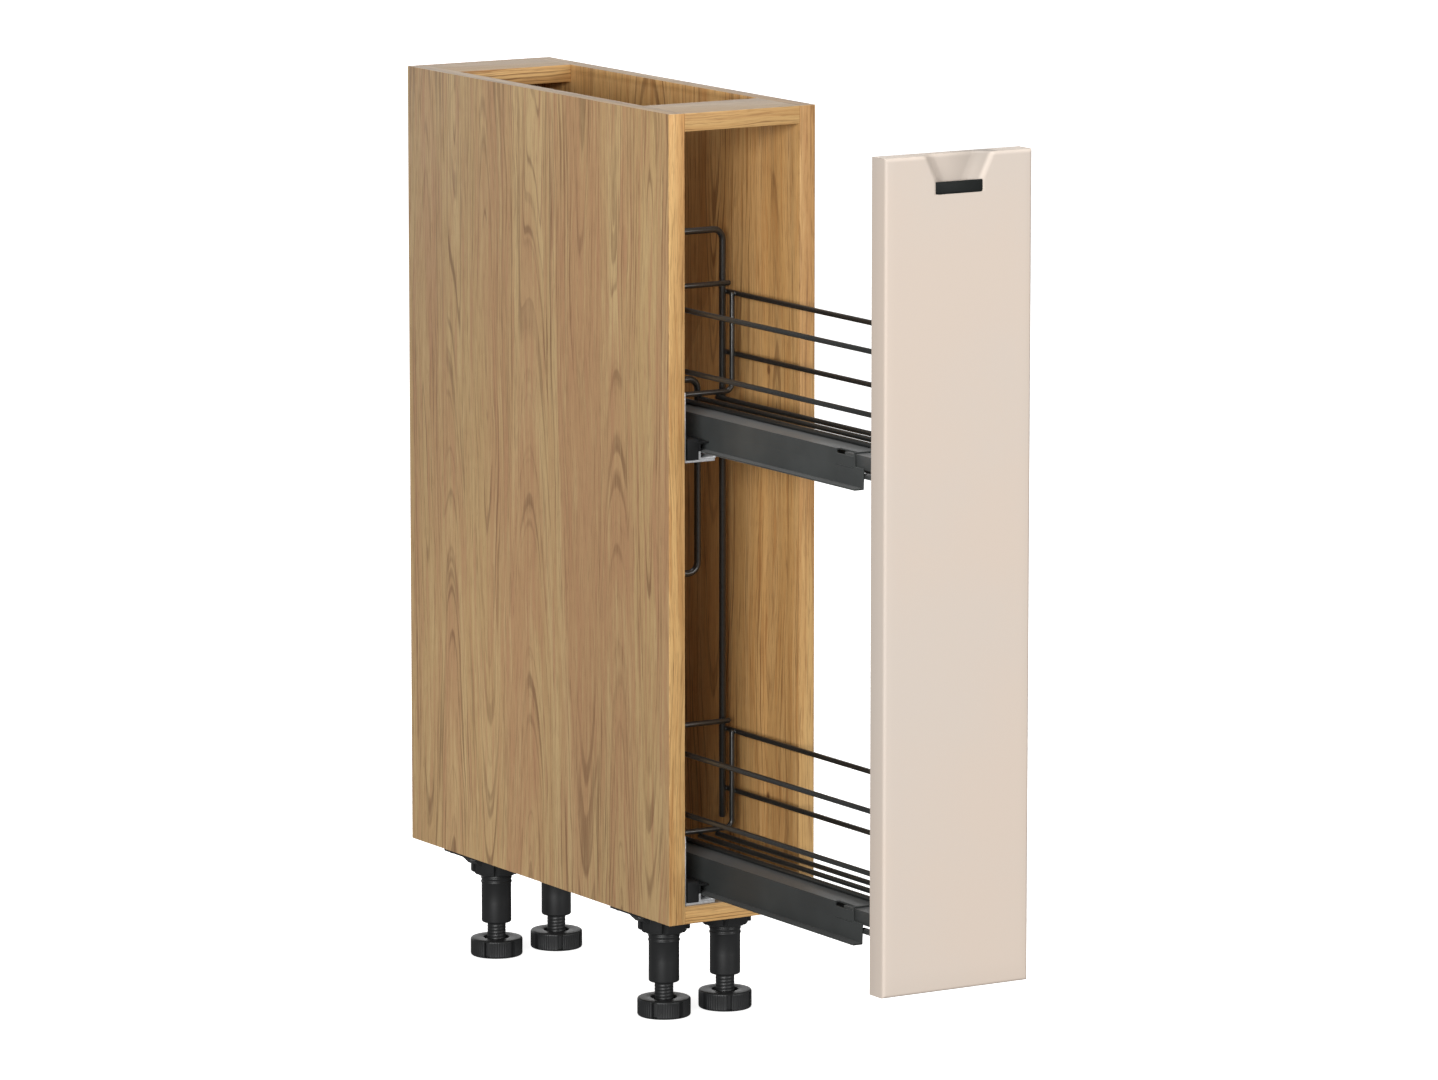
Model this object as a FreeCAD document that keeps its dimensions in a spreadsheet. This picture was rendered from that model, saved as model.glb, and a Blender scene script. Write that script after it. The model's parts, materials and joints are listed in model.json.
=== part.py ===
import FreeCAD, Part
import math
import os
from types import SimpleNamespace

import Sketcher
from FreeCAD import Placement, Rotation, Vector

# Pull-out kitchen cabinet, 150 mm wide, drawn with its pull-out open.
# X runs to the right, Y to the back, Z up. The origin is on the floor, at the
# centre of the footprint that the cabinet and its open pull-out cover.

# Driving dimensions in millimetres and degrees, one table for each group of pieces.
CARCASS_SIZES = {
    "carcass_width": 150,
    "carcass_height": 720,
    "carcass_depth": 463,
    "board": 16,
    "edge_band": 1,
    "back_board": 3,
    "back_rebate": 8,
    "front_rail_depth": 70,
    "rear_rail_depth": 64,
    "fit_gap": 0.05,
    "cut_margin": 2,
}
FITTING_SIZES = {
    "dowel_radius": 4,
    "dowel_length": 30,
    "dowel_in_side": 10,
    "bolt_radius": 3,
    "bolt_in_side": 11,
    "cam_radius": 7.5,
    "cam_height": 12.5,
    "cam_inset": 24,
    "cam_bolt_gap": 0.3,
    "fitting_spacing": 32,
    "fitting_edge": 19,
    "nail_head_radius": 2.2,
    "nail_head_height": 0.8,
    "nail_radius": 0.8,
    "nail_length": 16,
    "nail_end_inset": 40,
}
LEG_SIZES = {
    "leg_height": 100,
    "leg_side_inset": 43,
    "leg_front_inset": 81.5,
    "leg_rear_inset": 81.5,
    "socket_plate": 3,
    "socket_plate_outer": 40,
    "socket_plate_inner": 20,
    "socket_plate_half": 27,
    "socket_radius": 23.5,
    "socket_depth": 20.5,
    "collar_radius": 20.5,
    "collar_depth": 23.5,
    "socket_chamfer": 1.2,
    "socket_roof": 5,
    "socket_slot_width": 4,
    "socket_slot_depth": 5,
    "gusset_reach": 37,
    "gusset_drop": 13,
    "gusset_half_width": 11,
    "tube_radius": 13.75,
    "tube_bottom": 31,
    "tube_chamfer": 1.5,
    "tube_roof": 4,
    "bead_radius": 14.3,
    "bead_height": 1.6,
    "bead_upper_drop": 27,
    "bead_lower_drop": 31,
    "stem_radius": 8.5,
    "stem_headroom": 13,
    "stem_chamfer": 1,
    "pad_radius": 24,
    "pad_height": 16.5,
    "pad_edge": 1.6,
    "pad_well_radius": 11.8,
    "pad_well_depth": 7,
    "pad_notch_width": 4.6,
    "pad_notch_depth": 2.6,
    "pad_notch_floor": 1.6,
    "left_foot_turn": 38.5,
    "right_foot_turn": 9,
    "leg_screw_x": 15,
    "leg_screw_y": 19,
    "leg_screw_outer_inset": 5.4,
}
RUNNER_SIZES = {
    "rail_base_gap": 0.3,
    "basket_pitch": 395.5,
    "runner_front_inset": 2,
    "runner_length": 450,
    "wall_rail_gauge": 2,
    "wall_rail_height": 62.5,
    "wall_rail_width": 32,
    "track_start": 15.5,
    "track_upstand": 9.5,
    "track_lip": 2.7,
    "track_lip_gauge": 1.4,
    "guide_gauge": 1.6,
    "guide_top": 17.8,
    "guide_start": 8,
    "guide_end": 25,
    "guide_block_start": 4.2,
    "guide_block_end": 15.2,
    "guide_block_top": 20.5,
    "guide_block_length": 18,
    "cover_gauge": 1.5,
    "cover_start": 26.8,
    "cover_end": 53,
    "cover_bottom": 8.2,
    "cover_flange_start": 18,
    "cover_lean": 0.6,
    "cover_right_bottom": 16,
    "cover_top": 38.9,
    "cover_crease": 25.1,
    "cover_front": 74.5,
    "cover_length": 369,
    "cover_notch": 13.6,
    "cover_slot_start": 15,
    "cover_slot_length": 28,
    "cover_slot_depth": 4,
    "cover_groove": 0.7,
    "nest_gap": 0.3,
    "mid_gauge": 1.2,
    "mid_skirt_bottom": 14,
    "mid_front": 110,
    "mid_length": 335,
    "pad_gap": 0.2,
    "slide_pad_length": 40,
    "front_pad_inset": 120,
    "slide_pad_height": 0.8,
    "slide_pad_width": 7,
    "bracket_gauge": 1.5,
    "bracket_bottom": 25,
    "bracket_nest": 32,
    "bracket_foot_start": 26,
    "bracket_foot_end": 53.5,
    "bracket_foot_bottom": 14,
    "bracket_foot_top": 44,
    "bracket_screw_inset": 3.6,
    "bracket_arm_start": 28.8,
    "bracket_arm_end": 35,
    "bracket_arm_bottom": 17.3,
    "bracket_arm_top": 21,
    "bracket_arm_length": 85,
    "rail_screw_height": 54,
    "rail_screw_front": 37,
    "rail_screw_pitch": 192,
}
SCREW_SIZES = {
    "screw_radius": 1.75,
    "screw_length": 12,
    "screw_head_radius": 3.6,
    "screw_head_height": 1.8,
    "small_screw_radius": 1.2,
    "small_screw_length": 8,
    "small_screw_head_radius": 2.2,
    "small_screw_head_height": 1.2,
}
BASKET_SIZES = {
    "wire_radius": 2.4,
    "frame_wire_radius": 3,
    "wire_side_gap": 11.4,
    "lower_wire_rise": 32.5,
    "upper_wire_rise": 86.8,
    "hoop_top_rise": 88.3,
    "rod_rise": 95.4,
    "rod_end_overhang": 4.5,
    "hoop_bend": 7,
    "rear_hoop": 87.2,
    "front_hoop_inset": 12,
    "wire_rear": 106,
    "floor_wire_pitch": 18,
    "floor_wire_first": -8,
    "floor_wire_overrun": 2,
    "frame_plane": 102.7,
    "frame_foot_rise": 52.6,
    "frame_top_gap": 118.7,
    "frame_bend": 9.5,
    "jog_above_rail": 57,
    "jog_below_rail": 117.8,
    "jog_centre": 16.1,
    "tab_gauge": 2,
    "tab_half_width": 9.5,
    "tab_foot": 14,
    "tab_head": 6,
    "tab_screw_inset": 12,
    "tab_offset": 0.6,
}
FRONT_SIZES = {
    "panel_side_gap": 1.5,
    "panel_top_gap": 4,
    "panel_thickness": 22,
    "panel_front_round": 3,
    "panel_back_round": 1,
    "rest_opening": 325,
    "closed_gap": 2,
    "scoop_top_half": 34,
    "scoop_foot_half": 23.2,
    "scoop_depth": 11,
    "scoop_bevel": 10,
    "scoop_foot": 22,
    "scoop_floor": 33,
    "scoop_round": 4,
    "insert_half_width": 23.2,
    "insert_height": 10.4,
    "insert_gauge": 2,
    "insert_round": 2,
    "insert_seat_gap": 0.2,
    "insert_ledge": 8,
    "insert_ledge_half": 11,
    "insert_ledge_gauge": 1.5,
    "insert_screw_spacing": 14,
    "bumper_radius": 4,
    "bumper_height": 1.7,
    "bumper_inset": 60,
}
NAILS_PER_SIDE = 5
TABLES = (CARCASS_SIZES, FITTING_SIZES, LEG_SIZES, RUNNER_SIZES, SCREW_SIZES, BASKET_SIZES, FRONT_SIZES)

SHEET = "sizes"
FULL_TURN = 360
HALF_TURN = 180
QUARTER_TURN = 90
ALONG_X = Rotation(Vector(0, 1, 0), QUARTER_TURN)
AGAINST_X = Rotation(Vector(0, 1, 0), -QUARTER_TURN)
ALONG_Y = Rotation(Vector(1, 0, 0), -QUARTER_TURN)
AGAINST_Y = Rotation(Vector(1, 0, 0), QUARTER_TURN)
ALONG_Z = Rotation()
AGAINST_Z = Rotation(Vector(1, 0, 0), HALF_TURN)
WAYS = {
    "-X": (Vector(-1, 0, 0), AGAINST_X),
    "-Y": (Vector(0, -1, 0), AGAINST_Y),
    "-Z": (Vector(0, 0, -1), AGAINST_Z),
    "+Z": (Vector(0, 0, 1), ALONG_Z),
}

doc = FreeCAD.newDocument("pull_out_cabinet")


class Length:
    """A length as an expression on the sheet, with its present value."""

    def __init__(self, text, value):
        self.text = text
        self.value = value

    def joined(self, sign, other, value):
        return Length(f"({self.text} {sign} {as_length(other).text})", value)

    def __add__(self, other):
        return self.joined("+", other, self.value + as_length(other).value)

    def __sub__(self, other):
        return self.joined("-", other, self.value - as_length(other).value)

    def __mul__(self, other):
        return self.joined("*", other, self.value * as_length(other).value)

    def __truediv__(self, other):
        return self.joined("/", other, self.value / as_length(other).value)

    def __neg__(self):
        return Length(f"(0 - {self.text})", -self.value)


def as_length(number):
    return number if isinstance(number, Length) else Length(str(number), float(number))


def make_sheet():
    sheet = doc.addObject("Spreadsheet::Sheet", SHEET)
    row = 1
    for table in TABLES:
        for alias, number in table.items():
            sheet.set(f"A{row}", alias)
            sheet.set(f"B{row}", str(number))
            sheet.setAlias(f"B{row}", alias)
            row += 1
    doc.recompute()
    names = [alias for table in TABLES for alias in table]
    return SimpleNamespace(**{name: Length(f"{SHEET}.{name}", float(sheet.get(name))) for name in names})


size = make_sheet()
NIL = as_length(0)

# Places that many pieces share.
half_width = size.carcass_width / 2
inner_half = half_width - size.board
front_y = (size.rest_opening + size.panel_thickness - size.carcass_depth) / 2
board_y = front_y + size.edge_band
back_y = front_y + size.carcass_depth
board_back_y = back_y - size.back_board
floor_z = size.leg_height
top_z = floor_z + size.carcass_height
panel_back_y = front_y - size.rest_opening
panel_front_y = panel_back_y - size.panel_thickness
lower_rail_z = floor_z + size.board + size.rail_base_gap
upper_rail_z = lower_rail_z + size.basket_pitch
RUNNERS = {"lower": lower_rail_z, "upper": upper_rail_z}
panel_width = size.carcass_width - size.panel_side_gap * 2
panel_height = size.carcass_height - size.panel_top_gap
wire_half = inner_half - size.wire_side_gap
basket_rise = size.cover_top + size.wire_radius * 3
nest_top = size.cover_top - size.cover_gauge - size.nest_gap
track_top = size.wall_rail_gauge * 2


def run_of(start, length):
    return start, start + length


def around(middle, half):
    return middle - half, middle + half


def bind(item, target, length):
    item.setExpression(target, as_length(length).text)


def place(item, x, y, z, rotation=ALONG_Z):
    item.Placement = Placement(Vector(as_length(x).value, as_length(y).value, as_length(z).value), rotation)
    bind(item, "Placement.Base.x", x)
    bind(item, "Placement.Base.y", y)
    bind(item, "Placement.Base.z", z)
    return item


def box(label, x_range, y_range, z_range):
    item = doc.addObject("Part::Box", label)
    item.Label = label
    for side, (low, high) in zip(("Length", "Width", "Height"), (x_range, y_range, z_range)):
        bind(item, side, as_length(high) - low)
    return place(item, x_range[0], y_range[0], z_range[0])


def rod(label, start, length, radius, direction):
    item = doc.addObject("Part::Cylinder", label)
    item.Label = label
    bind(item, "Radius", radius)
    bind(item, "Height", length)
    return place(item, *start, direction)


def cut(label, base, tools):
    tool = tools[0] if len(tools) == 1 else group(f"{label}_tools", tools)
    item = doc.addObject("Part::Cut", label)
    item.Label = label
    item.Base = base
    item.Tool = tool
    return item


def fuse(label, pieces):
    item = doc.addObject("Part::MultiFuse", label)
    item.Label = label
    item.Shapes = pieces
    item.Refine = True
    return item


def group(label, pieces):
    item = doc.addObject("Part::Compound", label)
    item.Label = label
    item.Links = pieces
    return item


def origin_feature(body, role):
    return next(item for item in body.Origin.OriginFeatures if item.Role == role)


def new_body(label):
    body = doc.addObject("PartDesign::Body", label)
    body.Label = label
    return body


def outline(body, plane, points, offset=None):
    """A closed sketch of straight lines whose corners are bound to the sheet."""
    sketch = body.newObject("Sketcher::SketchObject", f"{body.Label}_outline")
    sketch.AttachmentSupport = [(origin_feature(body, plane), "")]
    sketch.MapMode = "FlatFace"
    if offset is not None:
        bind(sketch, "AttachmentOffset.Base.z", offset)
    points = [(as_length(x), as_length(y)) for x, y in points]
    corners = [Vector(x.value, y.value, 0) for x, y in points]
    for number, corner in enumerate(corners):
        following = corners[(number + 1) % len(corners)]
        sketch.addGeometry(Part.LineSegment(corner, following), False)
    for number, (x, y) in enumerate(points):
        after = (number + 1) % len(points)
        sketch.addConstraint(Sketcher.Constraint("Coincident", number, 2, after, 1))
        for kind, coordinate, axis in (("DistanceX", x, -2), ("DistanceY", y, -1)):
            if coordinate.value == 0:
                sketch.addConstraint(Sketcher.Constraint("PointOnObject", number, 1, axis))
                continue
            rule = Sketcher.Constraint(kind, -1, 1, number, 1, coordinate.value)
            index = sketch.addConstraint(rule)
            bind(sketch, f"Constraints[{index}]", coordinate)
    return sketch


def pad(body, sketch, length, reverse=False):
    feature = body.newObject("PartDesign::Pad", f"{body.Label}_pad")
    feature.Profile = sketch
    feature.Reversed = reverse
    bind(feature, "Length", length)
    return feature


def revolve(body, sketch):
    feature = body.newObject("PartDesign::Revolution", f"{body.Label}_turn")
    feature.Profile = sketch
    feature.ReferenceAxis = (sketch, ["V_Axis"])
    feature.Angle = FULL_TURN
    return feature


def polar(body, feature, count):
    pattern = body.newObject("PartDesign::PolarPattern", f"{body.Label}_pattern")
    pattern.Originals = [feature]
    pattern.Axis = (origin_feature(body, "Z_Axis"), [""])
    pattern.Angle = FULL_TURN
    pattern.Occurrences = count
    body.Tip = pattern
    return pattern


def section(label, points, length, base_z, start_y):
    """A straight profile, drawn from the wall and the runner's base, run along Y."""
    body = new_body(label)
    pad(body, outline(body, "XZ_Plane", points), length, reverse=True)
    return place(body, -inner_half, start_y, base_z)


def round_edges(body, feature, radius, wanted):
    """Fillet the edges of a feature whose middle point passes the test."""
    doc.recompute()
    names = []
    for number, edge in enumerate(feature.Shape.Edges, 1):
        middle = edge.valueAt((edge.FirstParameter + edge.LastParameter) / 2)
        if wanted(edge, middle):
            names.append(f"Edge{number}")
    fillet = body.newObject("PartDesign::Fillet", f"{body.Label}_round")
    fillet.Base = (feature, names)
    bind(fillet, "Radius", radius)
    body.Tip = fillet
    return fillet


def screw(label, start, direction, small=False):
    """A pan-head screw: its head stands on start, its shank runs on from there."""
    prefix = "small_screw_" if small else "screw_"
    radius = getattr(size, f"{prefix}radius")
    head_radius = getattr(size, f"{prefix}head_radius")
    head_height = getattr(size, f"{prefix}head_height")
    way, turn = WAYS[direction]
    head_start = [as_length(value) - head_height * step for value, step in zip(start, way)]
    head = rod(f"{label}_head", head_start, head_height, head_radius, turn)
    shank = rod(f"{label}_shank", start, getattr(size, f"{prefix}length"), radius, turn)
    return fuse(label, [head, shank])


def pilot(label, start, length, radius, direction):
    """The hole that a round piece sits in, wider by the fit gap and a little deeper."""
    return rod(label, start, as_length(length) + size.fit_gap, as_length(radius) + size.fit_gap, direction)


# Wires bent in one piece.

def bend_path(points, bend):
    """Straight runs joined by tangent arcs of one radius."""
    edges = []
    start = points[0]
    for corner, following in zip(points[1:-1], points[2:]):
        back = (start - corner).normalize()
        ahead = (following - corner).normalize()
        half_angle = back.getAngle(ahead) / 2
        reach = bend / math.tan(half_angle)
        enter = corner + back * reach
        leave = corner + ahead * reach
        middle = (back + ahead).normalize() * (bend / math.sin(half_angle) - bend)
        edges.append(Part.LineSegment(start, enter).toShape())
        edges.append(Part.Arc(enter, corner + middle, leave).toShape())
        start = leave
    edges.append(Part.LineSegment(start, points[-1]).toShape())
    return Part.Wire(edges)


def bent_wire(label, points, bend, radius):
    corners = [Vector(*(as_length(value).value for value in point)) for point in points]
    path = bend_path(corners, bend.value)
    circle = Part.Circle(corners[0], corners[1] - corners[0], radius.value)
    ring = Part.Wire([circle.toShape()])
    item = doc.addObject("Part::Feature", label)
    item.Label = label
    item.Shape = path.makePipeShell([ring], True, False)
    return item


# Carcass boards, their bands and their hidden fittings.

def rail_spans():
    """The boards that lie between the sides: their Y span, their Z span and the rows of fittings."""
    low = run_of(floor_z, size.board)
    high = (top_z - size.board, top_z)
    rear_start = board_back_y - size.rear_rail_depth + size.edge_band
    edge = size.fitting_edge
    return {
        "bottom": ((board_y, board_back_y), low, (edge, edge)),
        "front": ((board_y, front_y + size.front_rail_depth), high, (edge, NIL)),
        "rear": ((rear_start, board_back_y), high, (NIL, edge)),
    }


def joint_rows():
    """Each row holds one dowel and one cam bolt, at a Y place for each and a height."""
    rows = []
    for name, (y_span, z_span, insets) in rail_spans().items():
        middle = (z_span[0] + z_span[1]) / 2
        front_dowel = y_span[0] + insets[0]
        rear_dowel = y_span[1] - insets[1]
        if insets[0].value:
            rows.append((f"{name}_a", front_dowel, front_dowel + size.fitting_spacing, middle, z_span[0]))
        if insets[1].value:
            rows.append((f"{name}_b", rear_dowel, rear_dowel - size.fitting_spacing, middle, z_span[0]))
    return rows


def board_fittings():
    """Dowels, cam bolts and cams, with the holes they need in sides and boards."""
    dowels, bolts, cams = [], [], []
    holes = {"left": [], "right": [], "bottom": [], "front": [], "rear": []}
    bolt_reach = size.cam_inset - size.cam_radius - size.cam_bolt_gap
    for row, dowel_y, bolt_y, middle, underside in joint_rows():
        board_name = row.split("_")[0]
        for side, sign, turn in (("left", -1, ALONG_X), ("right", 1, AGAINST_X)):
            tag = f"{row}_{side}"
            wall = inner_half * sign
            dowel_start = (wall + size.dowel_in_side * sign, dowel_y, middle)
            bolt_start = (wall + size.bolt_in_side * sign, bolt_y, middle)
            cam_start = (wall - size.cam_inset * sign, bolt_y, underside)
            dowel = (dowel_start, size.dowel_length, size.dowel_radius, turn)
            bolt = (bolt_start, size.bolt_in_side + bolt_reach, size.bolt_radius, turn)
            cam = (cam_start, size.cam_height, size.cam_radius, ALONG_Z)
            dowels.append(rod(f"dowel_{tag}", *dowel))
            bolts.append(rod(f"bolt_{tag}", *bolt))
            cams.append(rod(f"cam_{tag}", *cam))
            for owner in (side, board_name):
                holes[owner].append(pilot(f"dowel_hole_{owner}_{tag}", *dowel))
                holes[owner].append(pilot(f"bolt_hole_{owner}_{tag}", *bolt))
            holes[board_name].append(pilot(f"cam_hole_{tag}", *cam))
    return dowels, bolts, cams, holes


def back_nail_starts():
    """Nails along both sides, on the back board's outer face."""
    starts = []
    side_x = inner_half + size.back_rebate / 2
    pitch = (size.carcass_height - size.nail_end_inset * 2) / (NAILS_PER_SIDE - 1)
    for sign in (-1, 1):
        for step in range(NAILS_PER_SIDE):
            starts.append((side_x * sign, back_y, floor_z + size.nail_end_inset + pitch * step))
    return starts


def make_carcass(nodes):
    dowels, bolts, cams, holes = board_fittings()
    nodes.append(group("carcass_dowels", dowels))
    nodes.append(group("cam_bolts", bolts))
    nodes.append(group("cam_fittings", cams))

    nails, nail_holes = make_nails()
    nodes.append(group("back_panel_nails", nails))

    make_side(nodes, "left", (-half_width, -inner_half),
              holes["left"] + nail_holes["left"] + rail_screw_holes() + leg_screw_side_holes())
    make_side(nodes, "right", (inner_half, half_width), holes["right"] + nail_holes["right"])

    back_half = inner_half + size.back_rebate - size.fit_gap
    back_blank = box("back_blank", (-back_half, back_half), (board_back_y, back_y), (floor_z, top_z))
    nodes.append(cut("back_panel", back_blank, [group("back_panel_holes", nail_holes["back"])]))

    across = (-inner_half, inner_half)
    labels = {"bottom": "bottom_panel", "front": "front_top_rail", "rear": "rear_top_rail"}
    bands = {"bottom": "bottom_edge_band", "front": "front_rail_edge_band", "rear": "rear_rail_edge_band"}
    for name, (y_span, z_span, insets) in rail_spans().items():
        blank = box(f"{name}_blank", across, y_span, z_span)
        tools = holes[name] + (leg_screw_board_holes() if name == "bottom" else [])
        nodes.append(cut(labels[name], blank, tools))
        nodes.append(box(bands[name], across, (y_span[0] - size.edge_band, y_span[0]), z_span))


def make_side(nodes, side, x_span, tools):
    """A side board with a rebate for the back along its rear edge, and its edge band."""
    if side == "left":
        rebate = (x_span[1] - size.back_rebate, x_span[1] + size.cut_margin)
    else:
        rebate = (x_span[0] - size.cut_margin, x_span[0] + size.back_rebate)
    blank = box(f"{side}_side_blank", x_span, (board_y, back_y), (floor_z, top_z))
    step = box(f"{side}_side_rebate", rebate, (board_back_y, back_y + size.cut_margin),
               (floor_z - size.cut_margin, top_z + size.cut_margin))
    nodes.append(cut(f"{side}_side_panel", blank, [step] + tools))
    nodes.append(box(f"{side}_edge_band", x_span, (front_y, board_y), (floor_z, top_z)))


def make_nails():
    """Sunk nails through the back board into the sides, with their holes."""
    nails = []
    holes = {"left": [], "right": [], "back": []}
    for number, start in enumerate(back_nail_starts()):
        seat = (start[0], start[1] - size.nail_head_height, start[2])
        head = (start, size.nail_head_height, size.nail_head_radius, AGAINST_Y)
        shank = (seat, size.nail_length, size.nail_radius, AGAINST_Y)
        pieces = [rod(f"nail_head_{number}", *head), rod(f"nail_shank_{number}", *shank)]
        nails.append(fuse(f"nail_{number}", pieces))
        side = "left" if start[0].value < 0 else "right"
        for owner in (side, "back"):
            holes[owner].append(pilot(f"nail_hole_{owner}_{number}", *shank))
        holes["back"].append(pilot(f"nail_sink_{number}", *head))
    return nails, holes


# Legs: a socket screwed under the carcass, a tube and a screw foot.

LEGS = {
    "front_left": (-1, "front"),
    "front_right": (1, "front"),
    "rear_left": (-1, "rear"),
    "rear_right": (1, "rear"),
}


def leg_axis(name):
    sign, end = LEGS[name]
    y = front_y + size.leg_front_inset if end == "front" else back_y - size.leg_rear_inset
    return (half_width - size.leg_side_inset) * sign, y


def leg_screw_places(name):
    """Four screws in each socket plate, at the corners clear of the socket."""
    x, y = leg_axis(name)
    left = x - size.socket_plate_outer + size.leg_screw_outer_inset
    right = x + size.leg_screw_x
    return [(hole_x, y + size.leg_screw_y * sign) for hole_x in (left, right) for sign in (-1, 1)]


def leg_screw_points():
    points = []
    for name in LEGS:
        for number, (x, y) in enumerate(leg_screw_places(name)):
            points.append((f"{name}_{number}", (x, y, floor_z - size.socket_plate)))
    return points


def in_side(x):
    return x.value < -inner_half.value


def leg_screw_side_holes():
    return [pilot(f"leg_side_hole_{tag}", start, size.screw_length, size.screw_radius, ALONG_Z)
            for tag, start in leg_screw_points() if in_side(start[0])]


def leg_screw_board_holes():
    return [pilot(f"leg_board_hole_{tag}", start, size.screw_length, size.screw_radius, ALONG_Z)
            for tag, start in leg_screw_points() if not in_side(start[0])]


def make_socket(name):
    """A round socket under a plate, with one gusset, side slots and screw holes."""
    x, y = leg_axis(name)
    body = new_body(f"{name}_leg_socket")
    depth = size.collar_depth
    bore = size.tube_radius + size.fit_gap
    plate_z = depth - size.socket_plate
    profile = [
        (bore, 0), (size.collar_radius - size.socket_chamfer, 0), (size.collar_radius, size.socket_chamfer),
        (size.collar_radius, depth - size.socket_depth), (size.socket_radius, depth - size.socket_depth),
        (size.socket_radius, depth), (0, depth),
        (0, depth - size.socket_roof), (bore, depth - size.socket_roof),
    ]
    revolve(body, outline(body, "XZ_Plane", profile))
    slot_in = size.socket_radius - size.socket_slot_depth
    slot_out = size.socket_radius + size.cut_margin
    slot_points = [(slot_in, 0), (slot_out, 0), (slot_out, plate_z), (slot_in, plate_z)]
    slot_sketch = outline(body, "XZ_Plane", slot_points)
    slot = body.newObject("PartDesign::Pocket", f"{body.Label}_slot")
    slot.Profile = slot_sketch
    slot.Midplane = True
    bind(slot, "Length", size.socket_slot_width)
    polar(body, slot, 6)

    turned = place(body, x, y, floor_z - depth)
    body.Label = f"{name}_turned_socket"
    plate = box(f"{name}_plate", (x - size.socket_plate_outer, x + size.socket_plate_inner),
                around(y, size.socket_plate_half), (floor_z - size.socket_plate, floor_z))
    blank = fuse(f"{name}_socket_blank", [turned, plate, make_gusset(name)])
    holes = []
    through = depth + size.cut_margin
    head_room = through - size.socket_plate
    for number, (hole_x, hole_y) in enumerate(leg_screw_places(name)):
        low = (hole_x, hole_y, floor_z - through)
        holes.append(pilot(f"{name}_plate_hole_{number}", low, through, size.screw_radius, ALONG_Z))
        holes.append(pilot(f"{name}_head_room_{number}", low, head_room, size.screw_head_radius, ALONG_Z))
    return cut(f"{name}_leg_socket", blank, [fuse(f"{name}_hole_tool", holes)])


def make_gusset(name):
    """A sloping web from the plate's outer edge down to the socket."""
    x, y = leg_axis(name)
    body = new_body(f"{name}_gusset")
    reach = size.gusset_reach - size.socket_radius + size.socket_slot_depth
    points = [(0, 0), (size.socket_slot_depth, 0), (reach, size.gusset_drop), (0, size.gusset_drop)]
    web = pad(body, outline(body, "XZ_Plane", points), size.gusset_half_width * 2)
    web.Midplane = True
    start_x = x - size.socket_radius + size.socket_slot_depth
    return place(body, start_x, y, floor_z - size.gusset_drop, Rotation(Vector(0, 0, 1), HALF_TURN))


def bead(middle):
    """The four corners of a ring that stands out of the leg tube."""
    low = as_length(middle) - size.bead_height / 2
    high = as_length(middle) + size.bead_height / 2
    step = size.bead_radius - size.tube_radius
    inner, outer = size.tube_radius, size.bead_radius
    return [(inner, low - step), (outer, low), (outer, high), (inner, high + step)]


def make_tube(name):
    x, y = leg_axis(name)
    body = new_body(f"{name}_leg_tube")
    bore = size.stem_radius + size.fit_gap
    top = floor_z - size.socket_roof - size.tube_bottom - size.fit_gap
    points = [(bore, 0), (size.tube_radius - size.tube_chamfer, 0), (size.tube_radius, size.tube_chamfer)]
    points += bead(floor_z - size.bead_lower_drop - size.tube_bottom)
    points += bead(floor_z - size.bead_upper_drop - size.tube_bottom)
    points += [(size.tube_radius, top), (0, top), (0, top - size.tube_roof), (bore, top - size.tube_roof)]
    revolve(body, outline(body, "XZ_Plane", points))
    return place(body, x, y, size.tube_bottom)


def make_foot(name):
    x, y = leg_axis(name)
    body = new_body(f"{name}_foot")
    rim, edge = size.pad_radius, size.pad_edge
    high = size.pad_height
    well_floor = high - size.pad_well_depth
    stem_edge = size.stem_radius - size.stem_chamfer
    stem_top = floor_z - size.socket_roof - size.tube_roof - size.stem_headroom
    points = [
        (0, 0), (rim - edge, 0), (rim, edge), (rim, high - edge), (rim - edge, high),
        (size.pad_well_radius, high), (size.pad_well_radius, well_floor), (size.stem_radius, well_floor),
        (size.stem_radius, stem_top - size.stem_chamfer), (stem_edge, stem_top), (0, stem_top),
    ]
    revolve(body, outline(body, "XZ_Plane", points))
    inner = rim - size.pad_notch_depth
    outer = rim + size.cut_margin
    notch_low, notch_high = size.pad_notch_floor, high - size.pad_notch_floor
    notch_points = [(inner, notch_low), (outer, notch_low), (outer, notch_high), (inner, notch_high)]
    notch = body.newObject("PartDesign::Pocket", f"{body.Label}_notch")
    notch.Profile = outline(body, "XZ_Plane", notch_points)
    notch.Midplane = True
    bind(notch, "Length", size.pad_notch_width)
    polar(body, notch, 6)
    turn = size.left_foot_turn if LEGS[name][0] < 0 else size.right_foot_turn
    return place(body, x, y, 0, Rotation(Vector(0, 0, 1), turn.value))


def make_legs(nodes):
    for name in LEGS:
        nodes.append(make_socket(name))
        nodes.append(make_tube(name))
        nodes.append(make_foot(name))
    screws = [screw(f"leg_screw_{tag}", start, "+Z") for tag, start in leg_screw_points()]
    nodes.append(group("leg_screws", screws))


# Runners: wall rail, track and guide on the left side, a mid rail and a drawer rail.

def rail_screw_starts():
    starts = []
    for name, base in RUNNERS.items():
        for step in range(3):
            y = front_y + size.rail_screw_front + size.rail_screw_pitch * step
            start = (-inner_half + size.wall_rail_gauge, y, base + size.rail_screw_height)
            starts.append((f"{name}_{step}", start))
    return starts


def rail_screw_holes():
    return [pilot(f"rail_side_hole_{tag}", start, size.screw_length, size.screw_radius, AGAINST_X)
            for tag, start in rail_screw_starts()]


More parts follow.
